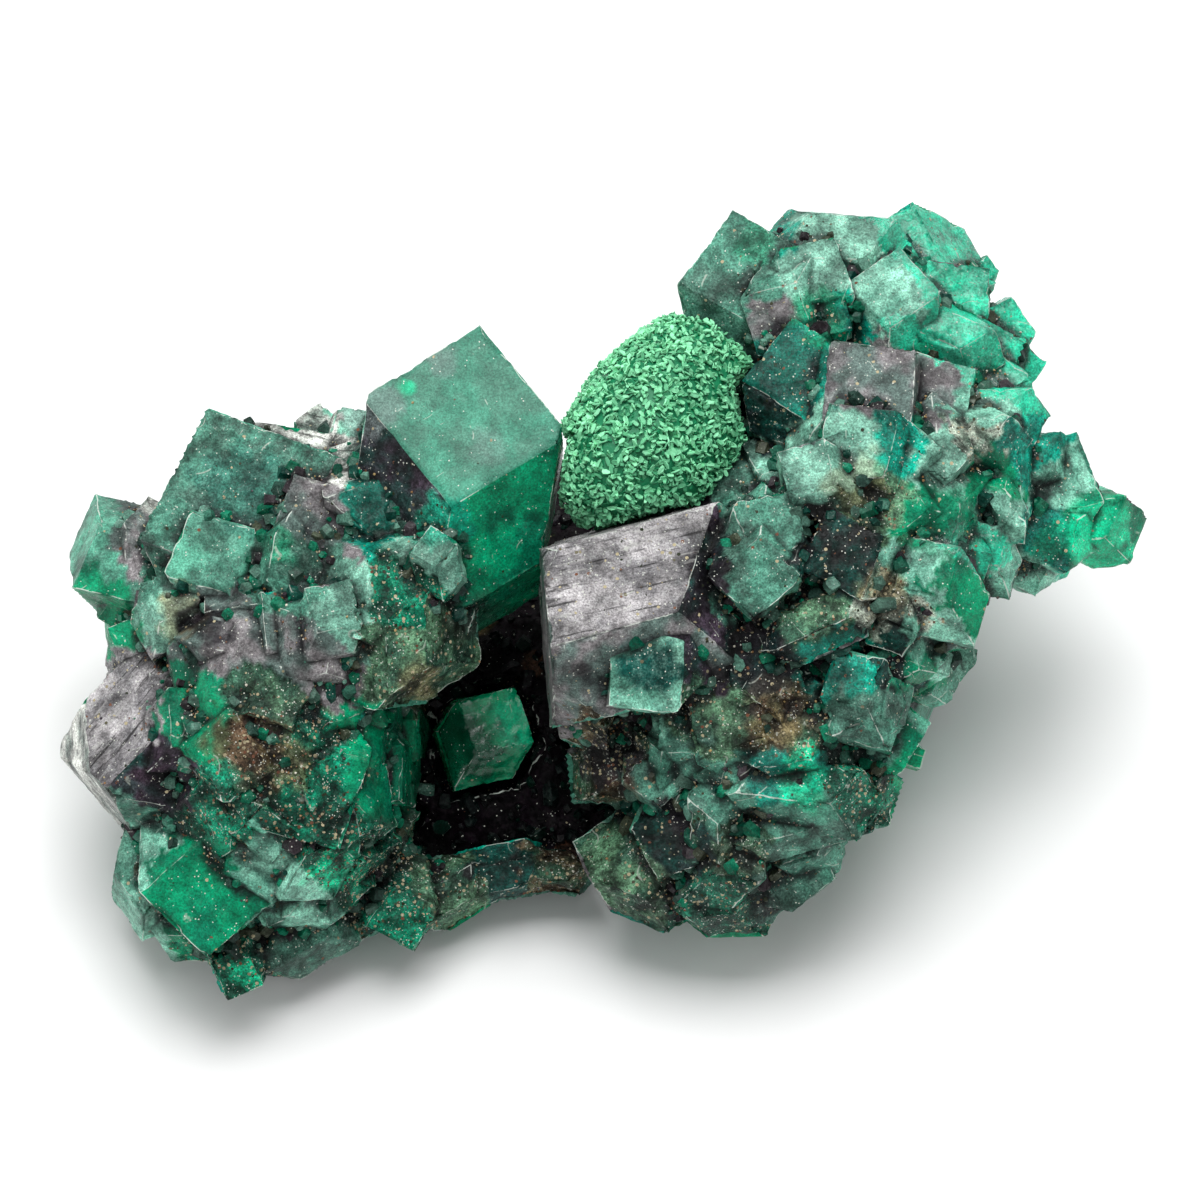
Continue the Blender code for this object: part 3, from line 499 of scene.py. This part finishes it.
def dioptase_finish(name, clear=False, shine=SHINE, lines=0.5):
    """Crystal, clouded and mottled, filmed in patches, made pale partly by frost and partly by painted sheen,
    with painted highlights on its edges and in fine curved lines, painted shade in its crevices and grooves,
    and grains and white specks of dust and painted glint on it.
    """
    finish = Finish(name)
    place = finish.node("ShaderNodeTexCoord", give=3)
    tint = finish.node("ShaderNodeAttribute", {"attribute_name": "tint"})
    skin = finish.node("ShaderNodeAttribute", {"attribute_name": "skin"})
    parts = finish.node("ShaderNodeSeparateColor", None, {0: skin})
    rough, frost, grains = parts, parts.other(1), parts.other(2)
    crevice = skin.other("Alpha")
    marks = finish.node("ShaderNodeAttribute", {"attribute_name": "marks"})
    marked = finish.node("ShaderNodeSeparateColor", None, {0: marks})
    grooved, mottled, edge = marked, marked.other(1), marked.other(2)
    groove = finish.node("ShaderNodeAttribute", {"attribute_name": "groove"}, give=1)
    stretched = finish.node("ShaderNodeMapping", None, {"Vector": groove, "Scale": (1.0, 0.07, 1.0)})

    cloud = finish.clouds(place, 1.9, 4.0, 0.6)
    patch = finish.clouds(place, 0.55, 6.0, 0.75)
    grain = finish.clouds(place, 0.11, 3.0, 0.75)
    film = finish.clouds(place, 0.95, 5.0, 0.7)
    streak = finish.clouds(stretched, 0.30, 4.0, 0.65)

    mottle = mottled * (1.3 * patch.ramp(0.34, 0.66) - 0.62)
    speckle = (0.30 + 0.35 * mottled) * (2.0 * grain.ramp(0.30, 0.70) - 1.0)
    clouded = 1.0 + (0.15 + 0.65 * mottled) * (2.0 * cloud.ramp(0.32, 0.68) - 1.0)
    colour = finish.scaled(tint, clouded * (1.0 + mottle) * (1.0 + speckle))
    filmed = mottled * film.ramp(0.54, 0.62)
    colour = finish.mix(filmed * 0.5, colour, finish.mix(0.6, (0.034, 0.022, 0.030, 1), colour))
    # Pale cast over the faces, partly frost and partly painted sheen.
    frost_and_sheen = frost * patch.ramp(0.48, 0.60) * (0.2 + 0.8 * grain.ramp(0.44, 0.56))
    colour = finish.mix(frost_and_sheen * 0.45, colour, (0.34, 0.50, 0.42, 1))
    streaks = grooved * streak.ramp(0.54, 0.66) * film.ramp(0.42, 0.56)
    colour = finish.mix(streaks * 0.6, colour, (0.42, 0.42, 0.40, 1))
    # Painted shade: the bottoms of the grooves are darkened.
    groove_shade = grooved * (1.0 - streak.ramp(0.34, 0.44))
    colour = finish.scaled(colour, 1.0 - 0.8 * groove_shade)

    rubble = finish.cells(place, 0.22)
    chance = finish.node("ShaderNodeSeparateColor", None, {0: rubble.other(1)})
    grain_here = (rubble < 0.46) * (chance > 1.0 - 0.60 * grains * grains * film.ramp(0.42, 0.58))
    grain_colour = finish.mix(chance.other(1).ramp(0.2, 0.7), (0.020, 0.026, 0.012, 1), (0.44, 0.38, 0.24, 1))
    grain_colour = finish.mix(chance.other(2) > 0.86, grain_colour, (0.17, 0.070, 0.040, 1))
    colour = finish.mix(grain_here, colour, grain_colour)
    # White specks, partly dust and partly painted glints.
    dust = finish.cells(place, 0.085)
    dust_chance = finish.node("ShaderNodeSeparateColor", None, {0: dust.other(1)})
    dust_and_glint = (dust < 0.5) * (dust_chance > 0.996 - 0.15 * grains * patch.ramp(0.46, 0.60))
    colour = finish.mix(dust_and_glint * 0.9, colour, (0.66, 0.68, 0.60, 1))

    # Painted highlight: thin pale lines that curve over the faces like the edges of growth steps.
    contour = finish.clouds(place, 5.2, 1.0, 0.5)
    level = contour.maths("FRACT", contour * 8.0)
    step_line_highlight = (1.0 - abs(level - 0.5).ramp(0.010, 0.030)) * cloud.ramp(0.58, 0.62)
    colour = finish.mix(step_line_highlight * lines, colour, (0.58, 0.62, 0.54, 1))
    # Painted highlight: convex edges lightened toward a pale green-white.
    edge_highlight = edge.ramp(0.66, 0.86) * cloud.ramp(0.45, 0.51) * patch.ramp(0.34, 0.46)
    colour = finish.mix(edge_highlight * 0.8, colour, (0.66, 0.72, 0.65, 1))
    # Painted shade: the crevices are darkened.
    colour = finish.scaled(colour, 1.0 - 0.8 * crevice)

    glitter = (grains * 0.9 + grooved * 0.4) * patch.ramp(0.44, 0.56)
    roughness = rough * (0.75 + 0.5 * patch) + 0.10 * frost_and_sheen - 0.25 * glitter
    relief = (
        0.10 * cloud
        + (0.01 + 0.09 * mottled) * patch
        + 0.012 * grain
        + 0.12 * grooved * streak
        + 0.5 * mottled * finish.facets(place, rubble)
        + 0.5 * glitter * finish.facets(place, dust)
        + 0.03 * grain_here
    )
    bump = finish.node("ShaderNodeBump", None, {"Strength": 1.0, "Distance": MM, "Height": relief})
    values = {"Base Color": colour, "Roughness": roughness, "IOR": REFRACTION, "Normal": bump}
    values["Specular IOR Level"] = shine
    ends = {}
    if clear:
        values["Transmission Weight"] = PASSES
        ends["Volume"] = finish.node("ShaderNodeVolumeAbsorption", None, THINNING)
    ends["Surface"] = finish.node("ShaderNodeBsdfPrincipled", None, values)
    finish.node("ShaderNodeOutputMaterial", None, ends)
    return finish.material


def grown(name, node, rows, stains_and_light, seed, longest=LONGEST_EDGE, rear=REAR_LOOKS):
    """A CAD node as a finely worked surface."""
    shape = merged_copy(node)
    divide(shape, longest)
    return dress(Surface(as_mesh(name, shape)), rows, stains_and_light, seed, rear)


def placed(name, mesh, materials, stands_for=()):
    """Puts a piece in the scene, riding on the specimen."""
    piece = bpy.data.objects.new(name, mesh)
    bpy.context.scene.collection.objects.link(piece)
    for material in materials:
        mesh.materials.append(material)
    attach(piece, "root")
    if stands_for:
        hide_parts(*stands_for)
    return piece


dioptase = dioptase_finish("dioptase")
clear_dioptase = dioptase_finish("clear_dioptase", clear=True, shine=CLEAR_SHINE)
left = grown("left_crystals", "left_crystal_group", LEFT_FACES, LEFT_STAINS_AND_PAINTED_LIGHT, 3)
placed("left_crystals", left.mesh, (dioptase, clear_dioptase), ("left_crystal_group",))

# Right crystal group
# The right lobe: dioptase crystals in a stepped heap, the striated prism that lies over the recess, the thin
# glassy crystals at the upper right and the rounded emerald tip. It is grown on the same rock.
RIGHT_FACES = (
    (7.6, 18.4, "grey_green", 40), (8.2, 20.2, "teal", 40), (6.0, 15.4, "grey_green", 60),
    (11.4, 17.2, "silver_green", 20), (9.6, 15.2, "violet", 30), (12.6, 20.6, "silver_green", 10),
    (13.6, 19.0, "silver_green", 10), (16.6, 20.4, "glass", 60), (17.8, 18.6, "glass", 50),
    (19.3, 16.4, "glass", 60), (21.9, 14.8, "glass", 60), (21.4, 13.0, "glass", 60),
    (23.0, 12.4, "glass", 60), (21.0, 18.1, "glass", 60), (15.6, 17.2, "pale", 120),
    (18.6, 14.6, "glass", 150), (20.9, 12.6, "glass", 150), (12.2, 15.4, "teal", 40),
    (10.2, 12.8, "teal", 40), (9.0, 11.4, "dark", 40), (14.5, 11.8, "violet", 70),
    (18.4, 11.6, "violet", 20), (20.7, 10.5, "pale", 2), (13.2, 8.8, "silver_green", 60),
    (15.8, 8.4, "teal", 90), (18.3, 7.8, "silver_green", 80), (20.5, 8.8, "gritty", 40),
    (21.4, 6.6, "deep", 90), (21.6, 4.9, "pale", 60), (25.0, 6.6, "pale", 60), (23.4, 7.8, "teal", 30),
    (27.0, 3.8, "deep", 10), (24.2, 3.2, "teal", 20), (23.0, 1.4, "pale", 30),
    (10.8, 7.2, "silver_green", 30), (9.0, 4.4, "grey_green", 60), (8.1, 1.0, "grey_green", 70),
    (1.2, 1.4, "striated", 14), (1.0, -1.2, "gritty", 14), (0.0, -3.0, "violet", 14),
    (4.8, -2.8, "dark_violet", 14), (5.4, 2.2, "dark_violet", 80), (2.2, -4.2, "pale", 40),
    (-1.6, -4.8, "violet", 100), (2.9, -9.6, "grey_green", 60), (6.2, -10.4, "grey_green", 80),
    (0.6, -8.6, "rusty", 40), (6.2, -6.0, "olive", 40), (8.4, -3.2, "dark", 40), (11.4, -0.8, "olive", 25),
    (12.8, 2.2, "dark", 60), (15.6, 0.2, "gritty", 100), (13.3, -4.0, "teal", 60),
    (13.8, -5.8, "grey_green", 20), (10.0, -7.0, "rusty", 10), (16.0, -3.2, "dark", 30),
    (15.8, -7.2, "grey_green", 60), (10.5, -9.8, "teal", 170), (14.4, -10.4, "sparkling", 10),
    (11.4, -12.0, "mint_grey", 8), (3.6, -12.8, "dark", 20), (1.8, -14.8, "olive", 160),
    (6.8, -16.0, "sparkling", 2), (7.4, -13.6, "olive", 20), (10.7, -15.2, "grey_green", 20),
    (12.0, -13.2, "grey_green", 20), (18.0, -4.4, "deep", 12), (17.9, -2.8, "pale", 40),
    (19.8, -2.8, "silver_green", 60), (16.9, -8.8, "deep", 40), (17.0, 1.8, "pale", 60),
    (19.2, 0.8, "deep", 60), (18.9, -1.4, "pale", 10), (14.9, 5.4, "olive", 60), (17.6, 4.4, "deep", 80),
    (20.5, 3.0, "glass", 60), (19.6, -1.0, "deep", 60), (18.4, -6.0, "mint_grey", 60),
)
RIGHT_STAINS_AND_PAINTED_LIGHT = (
    (10.2, 12.6, 2.6, 0.6, BLACK), (12.2, 15.5, 1.6, 0.9, EMERALD), (9.4, -5.6, 1.8, 0.4, RUST),
    (9.4, -7.0, 1.2, 0.5, OCHRE), (0.4, -8.8, 1.8, 0.8, PLUM), (1.2, -10.4, 1.0, 0.5, RUST),
    (15.6, 0.6, 1.4, 0.6, OCHRE), (2.4, -3.9, 1.9, 1.0, DEEP_TEAL), (-0.6, -4.2, 0.9, 0.8, BLACK),
    (27.2, 3.6, 2.2, 0.85, PAINTED_GLOW), (24.6, 3.0, 1.2, 0.6, EMERALD), (19.2, 4.2, 1.6, 0.6, EMERALD),
    (18.2, 4.2, 1.8, 0.6, EMERALD), (10.9, -9.8, 1.6, 0.6, PAINTED_GLOW), (8.6, 19.6, 1.2, 0.6, EMERALD),
    (5.6, 2.0, 1.5, 0.9, BLACK), (8.6, -3.2, 2.0, 0.7, BLACK), (7.0, -16.8, 4.0, 0.4, PLUM),
    (14.0, 6.2, 1.6, 0.4, OCHRE), (7.4, 8.6, 1.6, 0.7, BLACK),
)
RIGHT_EDGE = 0.39 * MM
right = grown("right_crystals", "right_crystal_group", RIGHT_FACES, RIGHT_STAINS_AND_PAINTED_LIGHT, 8, RIGHT_EDGE)
placed("right_crystals", right.mesh, (dioptase, clear_dioptase), ("right_crystal_group",))

# Matrix
# The near-black rock that the crystals grew on, seen in the recess between the lobes: finely broken, plum
# brown, with pale grains and small crystals that sparkle.
MATRIX_FACES = ((-6.0, -6.0, "rock", 30), (-2.0, 0.0, "rock", 60), (-6.0, -12.0, "rock", 60))
MATRIX_STAINS = (
    (-6.6, -0.8, 0.9, 0.6, OCHRE), (-3.6, -3.2, 0.7, 0.4, RUST), (0.6, -8.6, 2.2, 0.7, PLUM),
    (-2.0, -14.4, 1.0, 0.6, RUST),
)
ROCK_LOOKS = ("rock", "rock", "dark")
ROCK_SHINE = 0.06
matrix = grown("matrix_rock", "matrix", MATRIX_FACES, MATRIX_STAINS, 14, rear=ROCK_LOOKS)
dark_rock = dioptase_finish("dark_rock", shine=ROCK_SHINE, lines=0.0)
placed("matrix_rock", matrix.mesh, (dark_rock,), ("matrix",))

# Recess crystal
# A single clear emerald crystal that stands in the recess, grown on the matrix.
RECESS_FACES = ((-5.7, -6.6, "gem", 60),)
SHADE = (0.000, 0.040, 0.020)
# Painted glow at its right and at its foot, and painted shade at its lower left.
RECESS_GLOW_AND_SHADE = (
    (-4.6, -6.6, 1.3, 0.9, PAINTED_GLOW), (-6.2, -8.6, 0.7, 0.7, PAINTED_GLOW), (-7.6, -8.0, 2.3, 0.85, SHADE),
)
RECESS_EDGE = 0.3 * MM
recess = grown("emerald_crystal", "recess_crystal", RECESS_FACES, RECESS_GLOW_AND_SHADE, 21, RECESS_EDGE, ("gem",))
placed("emerald_crystal", recess.mesh, (dioptase, clear_dioptase), ("recess_crystal",))

# Green druse
# A crust of thousands of small mint-green plates at the upper left of the right lobe, grown edge to edge
# over a darker green bed. Each plate is a thin, slightly bent scale.
PLATE_COUNT = 9400
PLATE_SIZE = (0.13, 0.30)
PLATE_THICKNESS = 0.08
PLATE_LEAN = 1.15
PLATE_LIFT = (-0.05, 0.28)
PLATE_COLOURS = (np.array((0.012, 0.220, 0.090)), np.array((0.270, 0.760, 0.430)))
BED_COLOUR = (0.010, 0.190, 0.080)
PLATE_SHINE = 0.3
BED_SINK = 0.26
BED_EDGE = 0.5 * MM
# How many plates the front and the back get, where the back begins, and the middle of the druse in the view
FRONT_SHARE, BACK_SHARE = 1.0, 0.45
BACK_FACING = -0.25
DRUSE_ACROSS, DRUSE_UP = 4.9, 9.6


def plate_shapes(luck, count):
    """Small bent scales, with a radius of about 1 before they are sized."""
    made = []
    for index in range(count):
        shape = bmesh.new()
        bmesh.ops.create_circle(shape, cap_ends=True, segments=luck.choice((5, 6, 7)), radius=1)
        for vertex in shape.verts:
            vertex.co.x *= luck.uniform(0.8, 1.15)
            vertex.co.y *= luck.uniform(0.38, 0.62)
            vertex.co.z = -0.28 * vertex.co.length ** 2 * luck.uniform(0.6, 1.4)
        top = bmesh.ops.extrude_face_region(shape, geom=shape.faces[:])
        lifted = [item for item in top["geom"] if isinstance(item, bmesh.types.BMVert)]
        bmesh.ops.translate(shape, verts=lifted, vec=(0, 0, PLATE_THICKNESS / PLATE_SIZE[1]))
        bmesh.ops.recalc_face_normals(shape, faces=shape.faces)
        made.append(as_mesh(f"plate_{index}", shape))
    return made


def strewn(name, shapes, turns, tints):
    """Many small shapes joined in one mesh, one for each matrix, each with its own colour."""
    joined = bmesh.new()
    for index, turn in enumerate(turns):
        one = shapes[index % len(shapes)].copy()
        one.transform(turn)
        joined.from_mesh(one)
        bpy.data.meshes.remove(one)
    mesh = as_mesh(name, joined)
    loops = [len(shapes[index % len(shapes)].loops) for index in range(len(tints))]
    colours = np.repeat(np.array(tints), loops, axis=0)
    field(mesh, "tint", np.column_stack([colours, np.ones(len(colours))]))
    return mesh


def picked(surface, weights, count, luck):
    """Seeded places on a surface, as (place, normal), more of them where weights are high."""
    chosen = luck.choices(range(len(weights)), weights=weights.tolist(), k=count)
    for index in chosen:
        share = [luck.random() + 0.01 for _ in range(3)]
        total = sum(share)
        corners = surface.places[surface.triangles[index]]
        place = sum(corners[i] * share[i] / total for i in range(3))
        yield Vector(place), Vector(surface.face_normal[surface.faces[index]])


def druse_finish():
    """Mint-green scales and their bed, each in its own tint, finely clouded."""
    finish = Finish("mint_druse")
    place = finish.node("ShaderNodeTexCoord", give=3)
    tint = finish.node("ShaderNodeAttribute", {"attribute_name": "tint"})
    cloud = finish.clouds(place, 2.2, 4.0, 0.6)
    grain = finish.clouds(place, 0.22, 3.0, 0.6)
    colour = finish.scaled(tint, (0.6 + 0.8 * cloud) * (0.6 + 0.8 * grain))
    bump = finish.node("ShaderNodeBump", None, {"Strength": 0.8, "Distance": MM, "Height": 0.03 * grain})
    values = {"Base Color": colour, "Roughness": 0.35 + 0.2 * grain, "Normal": bump}
    values["Specular IOR Level"] = PLATE_SHINE
    shader = finish.node("ShaderNodeBsdfPrincipled", None, values)
    finish.node("ShaderNodeOutputMaterial", None, {"Surface": shader})
    return finish.material


mint_druse = druse_finish()
bed_shape = merged_copy("green_druse")
divide(bed_shape, BED_EDGE)
bed = Surface(as_mesh("druse_bed", bed_shape))
bed.places -= bed.normals * BED_SINK * MM
bed.mesh.vertices.foreach_set("co", bed.places.astype(np.float32).ravel())
bed_tint = np.tile((*BED_COLOUR, 1.0), (len(bed.corners), 1))
field(bed.mesh, "tint", bed_tint)
placed("druse_bed", bed.mesh, (mint_druse,), ("green_druse",))

druse_luck = random.Random(31)
scales = plate_shapes(druse_luck, 12)
plates, plate_tints = [], []
seen = bed.normals[bed.triangles].mean(axis=1) @ TOWARD_VIEW > BACK_FACING
outside = np.where(seen, FRONT_SHARE, BACK_SHARE)
for place, normal in picked(bed, bed.areas * outside, PLATE_COUNT, druse_luck):
    across, up = in_front_view(np.array(place))
    size = druse_luck.uniform(*PLATE_SIZE) * MM
    lean = Vector([druse_luck.uniform(-1, 1) for _ in range(3)])
    way = (normal + lean * PLATE_LEAN).normalized()
    spin = Matrix.Rotation(druse_luck.uniform(0, 6.28), 4, "Z")
    turn = way.to_track_quat("Z", "Y").to_matrix().to_4x4() @ spin
    lift = druse_luck.uniform(*PLATE_LIFT)
    plates.append(Matrix.Translation(place + normal * lift * MM) @ turn @ Matrix.Scale(size, 4))
    height = (lift - PLATE_LIFT[0]) / (PLATE_LIFT[1] - PLATE_LIFT[0])
    height = min(max(height + druse_luck.uniform(-0.3, 0.3), 0), 1)
    lit = 1.1 + 0.05 * (DRUSE_ACROSS - across) + 0.05 * (up - DRUSE_UP)
    pale = min(height * (0.55 + 0.45 * druse_luck.random()) * lit, 1.1)
    low, high = PLATE_COLOURS
    plate_tints.append(low + (high - low) * pale)
placed("druse_plates", strewn("druse_plates", scales, plates, plate_tints), (mint_druse,))

# Small crystals
# Dioptase crystals, most of them under a millimetre across, that fill the hollows between the stout ones,
# each a six-sided prism closed by three faces. They are grown on the same rock and crystals.
SMALL_COUNTS = (900, 1400, 1300)
SMALL_SIZE = (0.26, 0.90)
# How hollow a place has to be, how evenly they cover the matrix, and where its recess ends
SMALL_HOLLOW = 0.05
MATRIX_EVEN = 0.3
RECESS_FACING = -0.2
SMALL_COLOURS = (
    (0.001, 0.100, 0.052), (0.000, 0.060, 0.034), (0.022, 0.105, 0.070), (0.001, 0.040, 0.028),
    (0.050, 0.110, 0.082), (0.014, 0.040, 0.030), (0.040, 0.048, 0.030), (0.002, 0.150, 0.080),
    (0.075, 0.180, 0.135), (0.022, 0.016, 0.020),
)
DARK_COLOURS = ((0.001, 0.003, 0.003), (0.002, 0.001, 0.002), (0.000, 0.010, 0.006), (0.005, 0.002, 0.005))
# Roughness, frosting with painted sheen, grains and painted crevice shade, and then grooves, mottling and
# edges that take painted highlights, as on the large crystals
SMALL_SKIN = (0.32, 0.12, 0.15, 0.0)
SMALL_MARKS = (0.0, 0.45, 0.0, 1.0)
# How far they lean and how deep they stand. Near the base they are half as large, and kept above it.
SMALL_LEAN = 0.6
SMALL_SINK = 0.15
LOW = 1.2 * MM
LOWEST = 0.5 * MM


def crystal_shapes(luck, count):
    """Small six-sided crystals closed by three faces, about 1 across before they are sized."""
    made = []
    for index in range(count):
        shape = bmesh.new()
        height = luck.uniform(1.1, 1.8)
        bmesh.ops.create_cone(shape, cap_ends=True, segments=6, radius1=0.55, radius2=0.55, depth=height)
        for step in range(3):
            angle = math.radians(120 * step + 30)
            way = Vector((math.cos(angle), math.sin(angle), 0.8)).normalized()
            level = way * (height * 0.5 * way.z + luck.uniform(0.02, 0.12))
            parts = shape.verts[:] + shape.edges[:] + shape.faces[:]
            cut = bmesh.ops.bisect_plane(shape, geom=parts, plane_co=level, plane_no=way, clear_outer=True)
            open_edges = [part for part in cut["geom_cut"] if isinstance(part, bmesh.types.BMEdge)]
            bmesh.ops.edgeloop_fill(shape, edges=open_edges)
        bmesh.ops.recalc_face_normals(shape, faces=shape.faces)
        made.append(as_mesh(f"small_{index}", shape))
    return made


def turned(place, normal, size, lean, sink, luck):
    """A matrix that stands a small shape on the surface, leaning at random and a little sunk."""
    way = (normal + lean * Vector([luck.gauss(0, 1) for _ in range(3)])).normalized()
    spin = Matrix.Rotation(luck.uniform(0, 6.28), 4, "Z")
    stood = way.to_track_quat("Z", "Y").to_matrix().to_4x4() @ spin
    return Matrix.Translation(place - normal * sink * size) @ stood @ Matrix.Scale(size, 4)


small_luck = random.Random(53)
small_shapes = crystal_shapes(small_luck, 14)
HOSTS = ((left, "left"), (right, "right"), (matrix, "matrix"))
for (host, name), count in zip(HOSTS, SMALL_COUNTS):
    sunk = np.clip(host.hollow[host.triangles].mean(axis=1) - SMALL_HOLLOW, 0, 1)
    even = MATRIX_EVEN if host is matrix else 0.0
    weights = host.areas * (sunk ** 2 + even) / host.areas.mean() + 1e-9
    turns, tints = [], []
    for place, normal in picked(host, weights, count, small_luck):
        size = SMALL_SIZE[0] + (SMALL_SIZE[1] - SMALL_SIZE[0]) * small_luck.random() ** 2
        if place.z < LOW:
            size *= 0.5
            place.z = max(place.z, LOWEST)
        turns.append(turned(place, normal, size * MM, SMALL_LEAN, SMALL_SINK, small_luck))
        in_recess = host is matrix and normal.dot(TOWARD_VIEW) > RECESS_FACING
        tints.append(small_luck.choice(DARK_COLOURS if in_recess else SMALL_COLOURS))
    mesh = strewn(f"{name}_small_crystals", small_shapes, turns, tints)
    field(mesh, "skin", np.tile(SMALL_SKIN, (len(mesh.loops), 1)))
    field(mesh, "marks", np.tile(SMALL_MARKS, (len(mesh.loops), 1)))
    placed(f"{name}_small_crystals", mesh, (dark_rock if host is matrix else dioptase,))

# Grains in the crevices
# Rusty and pale grains of limonite and quartz that sit in the hollows between the crystals and over the rock.
GRAIN_COUNTS = (2300, 2600, 700)
GRAIN_SIZE = (0.030, 0.105)
GRAIN_CLUSTER = 2.6
GRAIN_LOWEST = 0.2 * MM
GRAIN_LEAN = 1.0
GRAIN_SINK = -0.2
GRAIN_COLOURS = (
    (0.36, 0.25, 0.10), (0.40, 0.34, 0.22), (0.12, 0.05, 0.02), (0.24, 0.12, 0.04), (0.05, 0.03, 0.02),
    (0.06, 0.16, 0.10), (0.58, 0.55, 0.46), (0.03, 0.02, 0.03),
)


def grain_shapes(luck, count):
    """Small broken grains, with a radius of about 1 before they are sized."""
    made = []
    for index in range(count):
        shape = bmesh.new()
        bmesh.ops.create_icosphere(shape, subdivisions=1, radius=0.9)
        for vertex in shape.verts:
            vertex.co *= luck.uniform(0.6, 1.2)
        made.append(as_mesh(f"grain_{index}", shape))
    return made


def grain_finish():
    """Dull stone in the grain's own colour, with a glossy broken face here and there."""
    finish = Finish("crevice_grains")
    place = finish.node("ShaderNodeTexCoord", give=3)
    tint = finish.node("ShaderNodeAttribute", {"attribute_name": "tint"})
    grain = finish.clouds(place, 0.12, 2.0, 0.6)
    colour = finish.scaled(tint, 0.5 + grain)
    bump = finish.node("ShaderNodeBump", None, {"Strength": 0.5, "Distance": MM, "Height": 0.02 * grain})
    values = {"Base Color": colour, "Roughness": 0.2 + 0.4 * grain, "IOR": 1.6, "Normal": bump}
    shader = finish.node("ShaderNodeBsdfPrincipled", None, values)
    finish.node("ShaderNodeOutputMaterial", None, {"Surface": shader})
    return finish.material


crevice_grains = grain_finish()
grain_luck = random.Random(47)
grains = grain_shapes(grain_luck, 10)
for (host, name), count in zip(HOSTS, GRAIN_COUNTS):
    clustered = soft_step(cloud_at(host.middles, GRAIN_CLUSTER, 71, 3), -0.05, 0.35)
    sunk = np.clip(host.hollow[host.triangles].mean(axis=1) + 0.10, 0, 1)
    weights = host.areas * clustered * (sunk ** 2 + 0.12 * host.grains ** 3) / host.areas.mean() + 1e-9
    turns, tints = [], []
    for place, normal in picked(host, weights, count, grain_luck):
        size = grain_luck.uniform(*GRAIN_SIZE) * MM
        place.z = max(place.z, GRAIN_LOWEST)
        turns.append(turned(place, normal, size, GRAIN_LEAN, GRAIN_SINK, grain_luck))
        tints.append(grain_luck.choice(GRAIN_COLOURS))
    mesh = strewn(f"{name}_grains", grains, turns, tints)
    placed(f"{name}_grains", mesh, (crevice_grains,))

# Floor, light and camera
# A plain pale floor, a wide soft light overhead and a little behind, and the camera at the photograph's
# angle: 60 degrees up, far away with a long lens.
FLOOR_SIZE = 3
FLOOR_DROP = 0.05 * MM
floor_shape = bmesh.new()
bmesh.ops.create_grid(floor_shape, size=FLOOR_SIZE)
floor = bpy.data.objects.new("floor", as_mesh("floor", floor_shape))
floor.location.z = -FLOOR_DROP
bpy.context.scene.collection.objects.link(floor)
floor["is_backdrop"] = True
pale_floor = Finish("pale_floor")
plain = {"Base Color": (0.86, 0.86, 0.86, 1), "Roughness": 0.9}
floor_shader = pale_floor.node("ShaderNodeBsdfPrincipled", None, plain)
pale_floor.node("ShaderNodeOutputMaterial", None, {"Surface": floor_shader})
floor.data.materials.append(pale_floor.material)

world = bpy.data.worlds.new("studio")
world.use_nodes = True
world.node_tree.nodes["Background"].inputs["Color"].default_value = (1.0, 1.0, 1.0, 1)
world.node_tree.nodes["Background"].inputs["Strength"].default_value = 0.50
bpy.context.scene.world = world
bpy.context.scene.view_settings.view_transform = "Standard"


def soft_light(name, place, size, power):
    """A square lamp that faces the specimen."""
    lamp = bpy.data.lights.new(name, "AREA")
    lamp.size = size
    lamp.energy = power
    made = bpy.data.objects.new(name, lamp)
    made.location = place
    made.rotation_euler = Vector(place).to_track_quat("Z", "Y").to_euler()
    bpy.context.scene.collection.objects.link(made)


soft_light("overhead", (0.0, 0.25, 0.9), 0.7, 10.5)
soft_light("left_strip", (-0.8, -0.1, 0.5), 0.25, 0.8)

CAMERA_AWAY = 0.6667
lens = bpy.data.cameras.new("camera")
lens.lens = 360
lens.sensor_width = 36
camera = bpy.data.objects.new("camera", lens)
camera.location = Vector(VIEW_RIGHT * MIDDLE_ACROSS + VIEW_UP * MIDDLE_UP + TOWARD_VIEW * CAMERA_AWAY)
camera.rotation_euler = (math.pi / 2 - ELEVATION, 0, 0)
bpy.context.scene.collection.objects.link(camera)
bpy.context.scene.camera = camera

visual_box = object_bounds()
boxes = {"cad": cad_box, "visual": visual_box}
{key: [list(corner) for corner in value] for key, value in boxes.items()}
